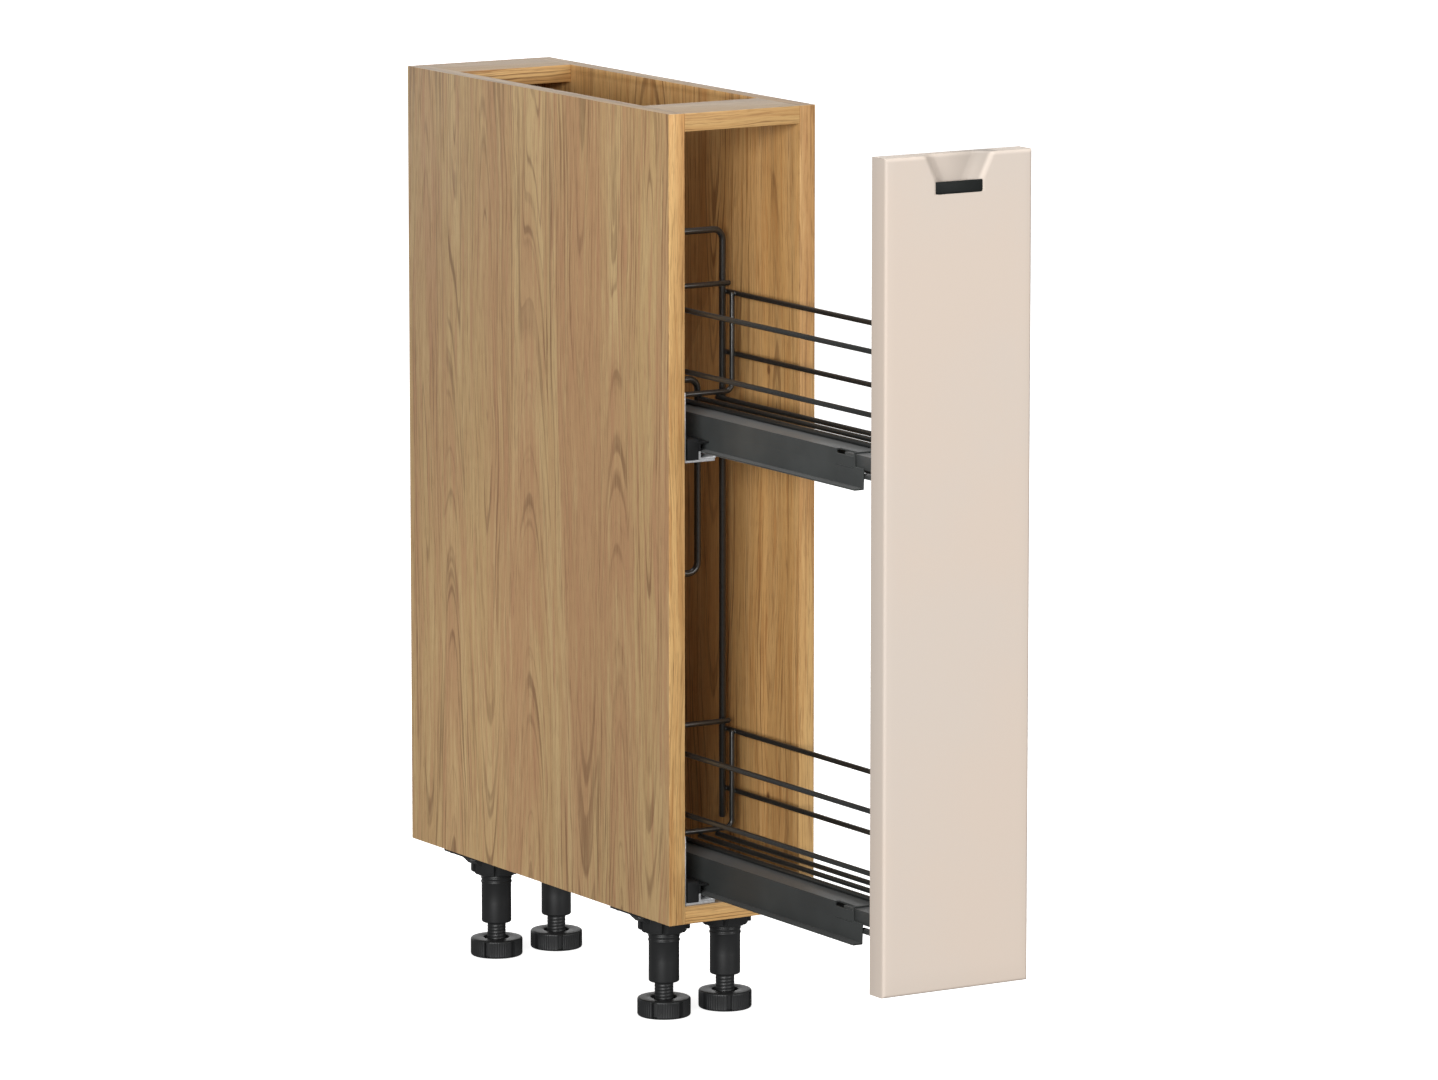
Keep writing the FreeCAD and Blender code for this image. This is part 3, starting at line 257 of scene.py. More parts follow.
def moulded(name, colour, shine, roughness):
    """Moulded plastic with a fine spark-eroded texture."""
    s = Shade(name, Specular_IOR_Level=shine)
    grain = s.noise(s.place, 1500.0, 3.0, 0.55)
    flow = s.noise(s.place, 30.0, 2.0)
    lighter = tuple(channel * 1.3 for channel in colour)
    s.base(s.colour(s.spread(flow, 0.35, 0.65), colour, lighter))
    s.rough(s.spread(grain, 0.3, 0.7, roughness - 0.05, roughness + 0.08))
    s.bump(grain, 0.00008, 0.4)
    return s


def plated(name, colour, roughness):
    """Zinc-plated steel with faint rolling lines along Y and a soft mottle."""
    s = Shade(name, Metallic=0.6)
    x, y, z = s.split(s.place)
    rolled = s.noise(s.vector(s.times(x, 900), s.times(y, 14), s.times(z, 900)), 1.0, 2.0)
    mottle = s.noise(s.place, 260.0, 3.0, 0.6)
    darker = tuple(channel * 0.78 for channel in colour)
    s.base(s.colour(s.spread(s.mixed(rolled, 0.5, mottle), 0.38, 0.62), darker, colour))
    s.rough(s.spread(mottle, 0.35, 0.65, roughness - 0.06, roughness + 0.08))
    s.bump(rolled, 0.00004, 0.3)
    return s


# The colour of the painted shade in the scoop's hollow.
SCOOP_PAINTED_SHADE = (0.02, 0.02, 0.02)


def lacquer(name, colour):
    """Matt lacquer, very slightly uneven in tone and surface. Shade is painted into the scoop,
    most of all on its right side."""
    s = Shade(name, Roughness=0.5, Specular_IOR_Level=0.4)
    x, y = s.split(s.place)[:2]
    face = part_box("front_panel")[0].y
    in_depth = s.spread(y, face + 0.8 * MM, face + 4 * MM)
    in_middle = s.spread(s.sum("ABSOLUTE", x), 38 * MM, 42 * MM, 1.0, 0.0)
    # Painted shade in the scoop, strongest on its right side.
    painted_scoop_shade = s.times(s.times(in_depth, in_middle), s.spread(x, -20 * MM, 34 * MM, 0.05, 0.38))
    cloud = s.noise(s.place, 6.0, 3.0, 0.5)
    speck = s.noise(s.place, 700.0, 2.0)
    warmer = (colour[0] * 1.01, colour[1] * 0.985, colour[2] * 0.965)
    cooler = (colour[0] * 0.985, colour[1] * 0.99, colour[2] * 0.995)
    even = s.colour(s.spread(s.mixed(cloud, 0.8, speck), 0.35, 0.65), cooler, warmer)
    s.base(s.colour(painted_scoop_shade, even, SCOOP_PAINTED_SHADE))
    s.rough(s.spread(speck, 0.3, 0.7, 0.46, 0.54))
    s.bump(s.noise(s.place, 260.0, 2.0), 0.00005, 0.25)
    return s


def fibreboard(name):
    """Pressed brown board with fine flakes."""
    s = Shade(name, Specular_IOR_Level=0.2)
    flakes = s.noise(s.place, 420.0, 4.0, 0.65)
    cloud = s.noise(s.place, 9.0, 2.0)
    s.base(s.colour(s.spread(s.mixed(flakes, 0.7, cloud), 0.36, 0.64),
                    (0.235, 0.125, 0.058), (0.40, 0.25, 0.135)))
    s.rough(s.spread(flakes, 0.3, 0.7, 0.62, 0.82))
    s.bump(flakes, 0.0001, 0.4)
    return s


def beech(name):
    """Beech with its grain along X."""
    s = Shade(name, Specular_IOR_Level=0.3)
    x, y, z = s.split(s.place)
    grain = s.noise(s.vector(s.times(x, 60), s.times(y, 1100), s.times(z, 1100)), 1.0, 3.0, 0.6)
    s.base(s.colour(s.spread(grain, 0.36, 0.64), (0.50, 0.30, 0.15), (0.66, 0.45, 0.26)))
    s.rough(s.spread(grain, 0.3, 0.7, 0.55, 0.72))
    s.bump(grain, 0.00015, 0.5)
    return s


def nylon(name):
    """White nylon that lets a little light in."""
    s = Shade(name, Specular_IOR_Level=0.4, Subsurface_Weight=0.15)
    s.shader.inputs["Subsurface Radius"].default_value = (0.0008, 0.0008, 0.0007)
    cloud = s.noise(s.place, 130.0, 2.0)
    s.base(s.colour(s.spread(cloud, 0.35, 0.65), (0.60, 0.60, 0.56), (0.68, 0.68, 0.64)))
    s.rough(s.spread(cloud, 0.3, 0.7, 0.32, 0.44))
    s.bump(s.noise(s.place, 1800.0, 2.0), 0.00004, 0.3)
    return s


def soft_dot(name):
    """Clear soft plastic."""
    s = Shade(name, Specular_IOR_Level=0.5, Transmission_Weight=0.55, IOR=1.42)
    cloud = s.noise(s.place, 500.0, 2.0)
    s.base(s.colour(s.spread(cloud, 0.3, 0.7), (0.82, 0.84, 0.84), (0.92, 0.93, 0.93)))
    s.rough(s.spread(cloud, 0.3, 0.7, 0.16, 0.28))
    s.bump(cloud, 0.00004, 0.3)
    return s


# Wood tones are linear: pale, tan, reddish and the dark of rings and pores.
SIDE_TONES = ((0.545, 0.384, 0.192), (0.445, 0.289, 0.132),
              (0.416, 0.228, 0.117), (0.16, 0.079, 0.037))
INNER_TONES = ((0.625, 0.38, 0.155), (0.53, 0.298, 0.106),
               (0.455, 0.223, 0.074), (0.17, 0.073, 0.024))
BAND_TONES = ((0.68, 0.43, 0.175), (0.56, 0.32, 0.115), (0.48, 0.245, 0.085), (0.2, 0.09, 0.03))

SIDE_HEARTS = ((0.263, 0.57, 0.07), (0.372, 0.45, 0.05), (0.19, 0.05, 0.1), (0.09, 0.96, 0.05),
               (-0.026, 0.6, 0.055), (0.03, 0.02, 0.08), (0.33, 0.02, 0.07))
INNER_HEARTS = ((-0.015, 0.42, 0.055), (0.085, 0.93, 0.05), (0.2, 0.18, 0.08), (0.33, 0.62, 0.05))

oak_side = oak("oak_side", "YXZ", SIDE_TONES, SIDE_HEARTS, rings=0.62, pores=0.42,
               paler=((0.02, 0.34), (0.15, 0.75, 1.0, 0.0)))
oak_inner = oak("oak_inner", "YXZ", INNER_TONES, INNER_HEARTS, seed=3.1, rings=0.68, pores=0.5,
                knots=((-0.0064, 0.5799, 0.0022), (-0.0062, 0.1951, 0.0018)))
oak_cross = oak("oak_cross", "YZX", INNER_TONES, seed=5.7, rings=0.45, pores=0.35)

wire_coat = powder_coat("anthracite_wire", (0.0130, 0.0140, 0.0135), 0.85, 0.29)
rail_coat = powder_coat("anthracite_steel", (0.041, 0.0445, 0.044), 0.40, 0.42, 0.12)
# The lower runner gets less light from above in the photograph, so its coat is darker.
low_rail_coat = powder_coat("anthracite_steel_low", (0.029, 0.0315, 0.031), 0.40, 0.42, 0.08)
black_plastic = moulded("black_plastic", (0.0125, 0.013, 0.0135), 0.40, 0.42)
insert_plastic = moulded("insert_plastic", (0.008, 0.0095, 0.009), 0.18, 0.5)
zinc = plated("zinc_steel", (0.80, 0.81, 0.82), 0.40)
paint = lacquer("front_lacquer", (0.655, 0.565, 0.488))
back_board = fibreboard("back_board")
beech_wood = beech("beech")
white_nylon = nylon("nylon")
clear_dot = soft_dot("clear_soft")


# Mesh helpers

SMOOTH_ANGLE = 34
WELD_DISTANCE = 0.002 * MM
FLAT_ANGLE = 0.5


def new_form():
    return bmesh.new()


def dress(form, name, nodes, shades, smooth=SMOOTH_ANGLE, pick=None):
    """Turn a form into a piece that stands for its CAD nodes and rides on their body."""
    bmesh.ops.recalc_face_normals(form, faces=form.faces)
    for face in form.faces:
        face.smooth = True
        if pick is not None:
            face.material_index = pick(face)
    limit = math.radians(smooth)
    for edge in form.edges:
        edge.smooth = len(edge.link_faces) == 2 and edge.calc_face_angle() < limit
    mesh = bpy.data.meshes.new(name)
    form.to_mesh(mesh)
    form.free()
    for shade in shades:
        mesh.materials.append(shade.material)
    piece = bpy.data.objects.new(name, mesh)
    bpy.context.scene.collection.objects.link(piece)
    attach(piece, BODY_OF[nodes[0]])
    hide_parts(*nodes)
    return piece


def cad_form(node):
    """The CAD node's shape, welded, with its flat faces whole."""
    form = new_form()
    form.from_mesh(frame["nodes"][node].data)
    bmesh.ops.remove_doubles(form, verts=form.verts, dist=WELD_DISTANCE)
    bmesh.ops.dissolve_limit(form, angle_limit=math.radians(FLAT_ANGLE), verts=form.verts,
                             edges=form.edges)
    return form


def round_edges(form, edges, radius, segments):
    bmesh.ops.bevel(form, geom=edges, offset=radius, offset_type="OFFSET", segments=segments,
                    profile=0.5, affect="EDGES", clamp_overlap=False)


SHARP_ANGLE = 28


def ease(form, width, segments=2, wanted=None):
    """Round the form's sharp edges, or those of them that are wanted."""
    limit = math.radians(SHARP_ANGLE)
    edges = [edge for edge in form.edges
             if len(edge.link_faces) == 2 and edge.calc_face_angle() > limit
             and (wanted is None or wanted(edge))]
    round_edges(form, edges, width, segments)
    return form


def eased(node, width, shades, pick=None, smooth=SMOOTH_ANGLE):
    """The CAD node's own shape with its edges rounded."""
    return dress(ease(cad_form(node), width), f"{node}_piece", [node], shades, smooth, pick)


AXIS_RADIUS = 1e-7


def lathe(form, profile, sides=48, matrix=None, closed=False, wave=None, angles=None):
    """Turn (radius, height) points about Z. A closed profile joins its last point to its first.
    wave changes the radius by angle, radius and height."""
    matrix = matrix or Matrix.Identity(4)
    angles = angles or [math.tau * step / sides for step in range(sides)]
    rings = []
    for radius, height in profile:
        if radius < AXIS_RADIUS:
            rings.append([form.verts.new(matrix @ Vector((0, 0, height)))])
            continue
        ring = []
        for angle in angles:
            reach = wave(angle, radius, height) if wave else radius
            corner = Vector((reach * math.cos(angle), reach * math.sin(angle), height))
            ring.append(form.verts.new(matrix @ corner))
        rings.append(ring)
    pairs = list(zip(rings, rings[1:])) + ([(rings[-1], rings[0])] if closed else [])
    count = len(angles)
    for low, high in pairs:
        for step in range(count):
            after = (step + 1) % count
            corners = [low[step], low[after]] if len(low) > 1 else [low[0]]
            corners += [high[after], high[step]] if len(high) > 1 else [high[0]]
            if len(corners) > 2:
                form.faces.new(corners)
    return form


def arc(centre, radius, start, end, steps):
    """(radius, height) points on an arc, in degrees."""
    points = []
    for step in range(steps + 1):
        angle = math.radians(start + (end - start) * step / steps)
        points.append((centre[0] + radius * math.cos(angle), centre[1] + radius * math.sin(angle)))
    return points


def bent_path(corners, bend, step_degrees=9):
    """Straight runs joined by arcs of one radius."""
    corners = [Vector(corner) for corner in corners]
    path = [corners[0]]
    for before, corner, after in zip(corners, corners[1:], corners[2:]):
        back, ahead = (before - corner).normalized(), (after - corner).normalized()
        half = back.angle(ahead) / 2
        middle = corner + (back + ahead).normalized() * (bend / math.sin(half))
        first = corner + back * (bend / math.tan(half)) - middle
        last = corner + ahead * (bend / math.tan(half)) - middle
        turn = first.angle(last)
        steps = max(2, round(math.degrees(turn) / step_degrees))
        axis = first.cross(last).normalized()
        for step in range(steps + 1):
            path.append(middle + Matrix.Rotation(turn * step / steps, 3, axis) @ first)
    path.append(corners[-1])
    return path


END_DOME = ((0.0, 0.55), (0.10, 0.80), (0.28, 0.95), (0.50, 1.0))


def sweep(form, path, radius, sides=20):
    """A round wire along a path, its cut ends slightly domed."""
    path = [Vector(point) for point in path]
    lead, tail = (path[1] - path[0]).normalized(), (path[-1] - path[-2]).normalized()
    stations = [(path[0] + lead * radius * along, share) for along, share in END_DOME]
    stations += [(point, 1.0) for point in path[1:-1]]
    stations += [(path[-1] - tail * radius * along, share) for along, share in reversed(END_DOME)]
    side = lead.orthogonal().normalized()
    rings = []
    heading = lead
    for number, (point, share) in enumerate(stations):
        before = stations[max(0, number - 1)][0]
        after = stations[min(len(stations) - 1, number + 1)][0]
        new_heading = (after - before).normalized()
        side = heading.rotation_difference(new_heading) @ side
        heading = new_heading
        other = heading.cross(side)
        ring = []
        for k in range(sides):
            angle = math.tau * k / sides
            spoke = side * math.cos(angle) + other * math.sin(angle)
            ring.append(form.verts.new(point + spoke * radius * share))
        rings.append(ring)
    for low, high in zip(rings, rings[1:]):
        for k in range(sides):
            form.faces.new((low[k], low[(k + 1) % sides], high[(k + 1) % sides], high[k]))
    form.faces.new(list(reversed(rings[0])))
    form.faces.new(rings[-1])
    return form


def weld(form, place, sizes):
    """A small weld nugget between two wires."""
    made = bmesh.ops.create_icosphere(form, subdivisions=2, radius=1.0)
    for vertex in made["verts"]:
        vertex.co = Vector(place) + Vector(vertex.co[k] * sizes[k] for k in range(3))


def span_of(points):
    """The low and high corners of the points' box."""
    low = Vector(min(point[k] for point in points) for k in range(3))
    high = Vector(max(point[k] for point in points) for k in range(3))
    return low, high


def islands(node):
    """The corners of each separate solid of a CAD node, in the order of their places."""
    form = cad_form(node)
    left = set(form.verts)
    found = []
    while left:
        stack = [left.pop()]
        points = []
        while stack:
            vertex = stack.pop()
            points.append(vertex.co.copy())
            for edge in vertex.link_edges:
                other = edge.other_vert(vertex)
                if other in left:
                    left.remove(other)
                    stack.append(other)
        found.append(points)
    form.free()

    def place(points):
        return tuple(round(value, 5) for value in sum(points, Vector()) / len(points))

    return sorted(found, key=place)


def standing(place, angle=0.0, axis="Z"):
    """A matrix from millimetres to a place in metres, turned about an axis."""
    return Matrix.Translation(place) @ Matrix.Rotation(angle, 4, axis) @ Matrix.Scale(MM, 4)


def stance(points):
    """A matrix that puts a turned piece on a turned solid: Z lies along it, and height 0 is at its
    wide end."""
    low, high = span_of(points)
    spans = high - low
    axis = max(range(3), key=lambda k: spans[k])
    centre = (low + high) / 2
    radii = [math.hypot(*(point[k] - centre[k] for k in range(3) if k != axis)) for point in points]
    wide = [point[axis] for point, radius in zip(points, radii) if radius > 0.95 * max(radii)]
    sign = 1 if sum(wide) / len(wide) > centre[axis] + spans[axis] * 0.01 else -1
    way = Vector([sign if k == axis else 0 for k in range(3)])
    end = centre.copy()
    end[axis] = high[axis] if sign > 0 else low[axis]
    turn = Vector((0, 0, 1)).rotation_difference(way).to_matrix().to_4x4()
    return Matrix.Translation(end) @ turn


def cut_from(form, tools):
    """The form less the tools."""
    objects = []
    for label, shape in (("solid", form), ("tools", tools)):
        mesh = bpy.data.meshes.new(label)
        shape.to_mesh(mesh)
        shape.free()
        item = bpy.data.objects.new(label, mesh)
        bpy.context.scene.collection.objects.link(item)
        objects.append(item)
    step = objects[0].modifiers.new("cut", "BOOLEAN")
    step.operation = "DIFFERENCE"
    step.solver = "EXACT"
    step.object = objects[1]
    bpy.context.view_layer.update()
    result = objects[0].evaluated_get(bpy.context.evaluated_depsgraph_get())
    cut_form = new_form()
    cut_form.from_mesh(result.to_mesh())
    result.to_mesh_clear()
    for item in objects:
        mesh = item.data
        bpy.data.objects.remove(item)
        bpy.data.meshes.remove(mesh)
    return cut_form


RECESS_TAPER = 0.7
SQUARE = ((-1, -1), (1, -1), (1, 1), (-1, 1))


def recess_tool(half_x, half_y, top, floor):
    """A box about Z whose lower face is smaller."""
    form = new_form()
    layers = []
    for height, share in ((floor, RECESS_TAPER), (top, 1.0)):
        layers.append([form.verts.new((x * half_x * share, y * half_y * share, height))
                       for x, y in SQUARE])
    form.faces.new(list(reversed(layers[0])))
    form.faces.new(layers[1])
    for k in range(4):
        after = (k + 1) % 4
        form.faces.new((layers[0][k], layers[0][after], layers[1][after], layers[1][k]))
    return form


def cut_cross(form, reach, width, top, floor):
    """The form with a cross recess cut into it."""
    for half_x, half_y in ((reach, width), (width, reach)):
        tool = recess_tool(half_x, half_y, top, floor)
        bmesh.ops.recalc_face_normals(form, faces=form.faces)
        bmesh.ops.recalc_face_normals(tool, faces=tool.faces)
        form = cut_from(form, tool)
    return form


def add_copies(form, template, matrices):
    """Copies of a template form at each matrix."""
    mesh = bpy.data.meshes.new("template")
    template.to_mesh(mesh)
    for matrix in matrices:
        start = len(form.verts)
        form.from_mesh(mesh)
        form.verts.ensure_lookup_table()
        for vertex in form.verts[start:]:
            vertex.co = matrix @ vertex.co
    bpy.data.meshes.remove(mesh)
    template.free()
    return form


# Fasteners and fittings: the wide end lies at height 0, in millimetres.

def pan_screw(head_radius, head_height, radius, length):
    """A domed head with a cross recess, and a threaded shank."""
    profile = [(0, 0)]
    for degrees in range(15, 91, 15):
        angle = math.radians(degrees)
        profile.append((head_radius * math.sin(angle) * 0.94,
                        -head_height * 0.62 * (1 - math.cos(angle))))
    profile += [(head_radius, -head_height * 0.78), (head_radius, -head_height * 0.94),
                (head_radius * 0.97, -head_height), (radius, -head_height)]
    pitch = radius * 0.8
    height = -head_height
    while height - pitch > -head_height - length + radius:
        profile += [(radius * 0.78, height - pitch * 0.25), (radius * 0.78, height - pitch * 0.5),
                    (radius, height - pitch * 0.8), (radius, height - pitch * 0.9)]
        height -= pitch
    profile += [(radius * 0.78, height - pitch * 0.3), (0, -head_height - length)]
    form = lathe(new_form(), profile, 28)
    return cut_cross(form, head_radius * 0.52, head_radius * 0.12, head_height, -head_height * 0.8)


def flat_nail(head_radius, head_height, radius, length):
    """A flat head and a plain shank with a point."""
    profile = [(0, 0), (head_radius * 0.9, 0), (head_radius, -head_height * 0.25),
               (head_radius, -head_height), (radius, -head_height),
               (radius, -head_height - length + radius * 2), (0, -head_height - length)]
    return lathe(new_form(), profile, 24)


FLUTES, FLUTE_DEPTH = 18, 0.14


def fluted_dowel(radius, length):
    """A wooden dowel with fluted sides and chamfered ends."""
    def flute(angle, reach, height):
        if reach < radius * 0.9:
            return reach
        return reach - (FLUTE_DEPTH + FLUTE_DEPTH * math.cos(angle * FLUTES))

    profile = [(0, 0), (radius * 0.72, 0), (radius, -radius * 0.35), (radius, -length / 2),
               (radius, -length + radius * 0.35), (radius * 0.72, -length), (0, -length)]
    return lathe(new_form(), profile, 108, wave=flute)


def cam_bolt(radius, length):
    """Threaded at its wide end, with a waist and a round head at the cam."""
    profile = [(0, 0), (radius * 0.6, 0)]
    height = -radius * 0.3
    for _ in range(5):
        profile += [(radius * 0.72, height), (radius, height - 0.7),
                    (radius, height - 0.9), (radius * 0.72, height - 1.6)]
        height -= 1.9
    profile += [(radius * 0.99, height - 0.2), (radius * 0.99, -length + radius * 2.4),
                (radius * 0.55, -length + radius * 2), (radius * 0.55, -length + radius * 1.3),
                (radius * 0.85, -length + radius), (radius * 0.85, -length + radius * 0.35),
                (radius * 0.5, -length), (0, -length)]
    return lathe(new_form(), profile, 32)


CAM_RIBS, CAM_RIB_DEPTH = 24, 0.12


def cam(radius, height):
    """A cam housing with a cross recess in its open face and a ribbed skirt."""
    def rib(angle, reach, level):
        if reach < radius * 0.96:
            return reach
        return reach - (CAM_RIB_DEPTH + CAM_RIB_DEPTH * math.cos(angle * CAM_RIBS))

    profile = [(0, 0), (radius * 0.86, 0), (radius * 0.88, -0.35), (radius * 0.91, -0.35),
               (radius * 0.95, 0), (radius, -0.4), (radius, -height * 0.5),
               (radius, -height + 0.5), (radius - 0.5, -height), (0, -height)]
    form = lathe(new_form(), profile, 120, wave=rib)
    return cut_cross(form, radius * 0.5, radius * 0.11, 2.0, -2.6)


def fasteners(node, template, shade):
    """Put a copy of the template at each solid of the node."""
    matrices = [stance(points) @ Matrix.Scale(MM, 4) for points in islands(node)]
    dress(add_copies(new_form(), template, matrices), f"{node}_piece", [node], [shade])


# Head radius, head height, shank radius and shank length
BIG_SCREW = (3.6, 1.8, 1.75, 12)
SMALL_SCREW = (2.2, 1.2, 1.2, 8)
NAIL = (2.2, 0.8, 0.8, 16)
DOWEL_RADIUS, DOWEL_LENGTH = 4, 30
CAM_RADIUS, CAM_HEIGHT, BOLT_RADIUS = 7.5, 12.5, 3

for node, sizes in (("leg_screws", BIG_SCREW), ("wall_rail_screws", BIG_SCREW),
                    ("front_panel_screws", SMALL_SCREW), ("handle_insert_screws", SMALL_SCREW)):
    fasteners(node, pan_screw(*sizes), zinc)
fasteners("back_panel_nails", flat_nail(*NAIL), zinc)
fasteners("carcass_dowels", fluted_dowel(DOWEL_RADIUS, DOWEL_LENGTH), beech_wood)


def cams_and_bolts():
    """The cams open downwards. Each bolt's head lies in its cam, towards the cabinet's middle."""
    places = []
    for points in islands("cam_fittings"):
        low, high = span_of(points)
        centre = (low + high) / 2
        places.append(standing((centre.x, centre.y, low.z), math.pi, "X"))
    form = add_copies(new_form(), cam(CAM_RADIUS, CAM_HEIGHT), places)
    dress(form, "cam_fittings_piece", ["cam_fittings"], [zinc])

    places = []
    for points in islands("cam_bolts"):
        low, high = span_of(points)
        centre = (low + high) / 2
        length = (high.x - low.x) / MM
        outward = 1 if centre.x > 0 else -1
        end = Vector((high.x if outward > 0 else low.x, centre.y, centre.z))
        places.append(standing(end, outward * math.pi / 2, "Y"))
    form = add_copies(new_form(), cam_bolt(BOLT_RADIUS, length), places)
    dress(form, "cam_bolts_piece", ["cam_bolts"], [zinc])


cams_and_bolts()


# Carcass

NEARBY = 0.01 * MM
SIDE_EDGE, CROSS_EDGE, BACK_EDGE = 0.15 * MM, 0.12 * MM, 0.1 * MM
BAND_EDGE, BAND_STEPS = 0.55 * MM, 3


def facing_left(face):
    return 0 if face.normal.x < -0.5 else 1


# The left panel's outer face takes the greyer side tones, its other faces the inner tones: partly
# the decor's own tone, partly painted light and shade.
eased("left_side_panel", SIDE_EDGE, [oak_side, oak_inner], pick=facing_left)
eased("right_side_panel", SIDE_EDGE, [oak_inner])
for node in ("bottom_panel", "front_top_rail", "rear_top_rail"):
    eased(node, CROSS_EDGE, [oak_cross])
eased("back_panel", BACK_EDGE, [back_board])


def edge_band(node, share, axes, **figure):
    """A band in the band tones made lighter or darker by its share, as painted light and shade,
    with the edges of its front face rounded.
    """
    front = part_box(node)[0].y

    def on_front(edge):
        return all(abs(vertex.co.y - front) < NEARBY for vertex in edge.verts)

    # The share paints the band lighter where light falls on it and darker where shade falls.
    shade = oak(f"oak_{node}", axes, toned(BAND_TONES, share), pores=0.5, **figure)
    dress(ease(cad_form(node), BAND_EDGE, BAND_STEPS, on_front), f"{node}_piece", [node], [shade])


# Shares of painted light and shade, band by band.
for node, share in (("left_edge_band", 1.12), ("right_edge_band", 0.88)):
    edge_band(node, share, "XYZ", seed=7.3, rings=0.5, pitch=0.0018)
for node, share in (("bottom_edge_band", 1.08), ("front_rail_edge_band", 0.9),
                    ("rear_rail_edge_band", 1.0)):
    edge_band(node, share, "ZYX", seed=9.2, rings=0.75, pitch=0.0016)


# Legs, in millimetres

LEGS = ("front_left", "front_right", "rear_left", "rear_right")
PAD_RADIUS, PAD_HEIGHT, PAD_ROUND = 24, 16.5, 1.9
NOTCH_DEPTH, NOTCH_HALF, NOTCH_LOW = 2.6, 2.3, 1.6
WELL_RADIUS, WELL_DEPTH = 11.8, 7
STEM_RADIUS, THREAD_PITCH, THREAD_DEPTH = 8.5, 3.0, 0.2
RIBS, RIB_DEPTH, RIB_FADE = 66, 0.22, 4
NOTCHES = 6
LEFT_TURN, RIGHT_TURN = math.radians(38.5), math.radians(9.0)
SOCKET_EDGE = 0.35 * MM


def foot_form(matrix, height, turn):
    """A round pad with grip ribs, notches and a well, and the threaded stem that stands in it.
    Heights run from the floor."""
    notch_half = math.asin(NOTCH_HALF / PAD_RADIUS)
    angles = [math.tau * step / (RIBS * 6) for step in range(RIBS * 6)]
    for number in range(NOTCHES):
        middle = turn + math.tau * number / NOTCHES
        for edge in (-notch_half, notch_half):
            angles += [(middle + edge + shift) % math.tau for shift in (-0.004, 0.004)]
    angles = sorted(set(angles))
    corner = PAD_RADIUS - PAD_ROUND
    ribs_end = NOTCH_LOW / 2

    def grip(angle, reach, level):
        if reach < corner or not ribs_end < level < PAD_HEIGHT - ribs_end:
            return reach
        off = (angle - turn + math.pi / NOTCHES) % (math.tau / NOTCHES) - math.pi / NOTCHES
        if abs(off) < notch_half and NOTCH_LOW < level < PAD_HEIGHT - NOTCH_LOW:
            return PAD_RADIUS - NOTCH_DEPTH
        fade = min(1.0, (PAD_HEIGHT - level) / RIB_FADE, level / RIB_FADE)
        return reach - RIB_DEPTH * fade * (1 - math.cos(angle * RIBS))

    profile = [(0, 0), (corner - 2, 0)]
    profile += arc((corner, PAD_ROUND), PAD_ROUND, -90, 0, 4)
    profile += [(PAD_RADIUS, PAD_ROUND + 0.05), (PAD_RADIUS, 4.5), (PAD_RADIUS, PAD_HEIGHT / 2),
                (PAD_RADIUS, PAD_HEIGHT - 4.5), (PAD_RADIUS, PAD_HEIGHT - PAD_ROUND - 0.05)]
    profile += arc((corner, PAD_HEIGHT - PAD_ROUND), PAD_ROUND, 0, 90, 4)
    profile += [(WELL_RADIUS + 0.7, PAD_HEIGHT), (WELL_RADIUS + 0.2, PAD_HEIGHT - 0.2),
                (WELL_RADIUS, PAD_HEIGHT - 0.7), (WELL_RADIUS, PAD_HEIGHT - WELL_DEPTH),
                (0, PAD_HEIGHT - WELL_DEPTH)]
    form = lathe(new_form(), profile, matrix=matrix, wave=grip, angles=angles)

    def thread(angle, reach, level):
        if reach < STEM_RADIUS - 0.01:
            return reach
        turn_share = (level / THREAD_PITCH - angle / math.tau) % 1.0
        return reach - THREAD_DEPTH * max(0.0, min(1.0, 3.2 * abs(turn_share - 0.5) - 0.3))

    base, top = PAD_HEIGHT - WELL_DEPTH - 0.5, height - 1
    rings = int((top - base) / THREAD_PITCH * 8)
    stem = [(0, base), (STEM_RADIUS, base)]
    stem += [(STEM_RADIUS, base + (top - base) * (step + 1) / rings) for step in range(rings)]
    stem += [(STEM_RADIUS - 1, height), (0, height)]
    return lathe(form, stem, 48, matrix=matrix, wave=thread)


TUBE_RADIUS, BEAD_RADIUS, TUBE_BOTTOM = 13.75, 14.3, 31
BEAD_HEIGHTS = (69, 73)
TUBE_BORE, TUBE_ROOF = 8.55, 4


def tube_form(matrix, top):
    """The leg tube with its two rounded beads, bored for the stem. Heights run from the floor."""
    profile = [(TUBE_BORE + 0.5, TUBE_BOTTOM), (TUBE_RADIUS - 1.5, TUBE_BOTTOM)]
    profile += arc((TUBE_RADIUS - 1.5, TUBE_BOTTOM + 1.5), 1.5, -75, 0, 4)
    profile += [(TUBE_RADIUS, 50)]
    for middle in BEAD_HEIGHTS:
        step = BEAD_RADIUS - TUBE_RADIUS
        profile += [(TUBE_RADIUS, middle - 1.35), (TUBE_RADIUS + step * 0.45, middle - 0.95),
                    (BEAD_RADIUS, middle - 0.4), (BEAD_RADIUS, middle + 0.4),
                    (TUBE_RADIUS + step * 0.45, middle + 0.95), (TUBE_RADIUS, middle + 1.35)]
    profile += [(TUBE_RADIUS, top), (0, top), (0, top - TUBE_ROOF), (TUBE_BORE, top - TUBE_ROOF),
                (TUBE_BORE, TUBE_BOTTOM + 0.5)]
    return lathe(new_form(), profile, 96, matrix=matrix, closed=True)


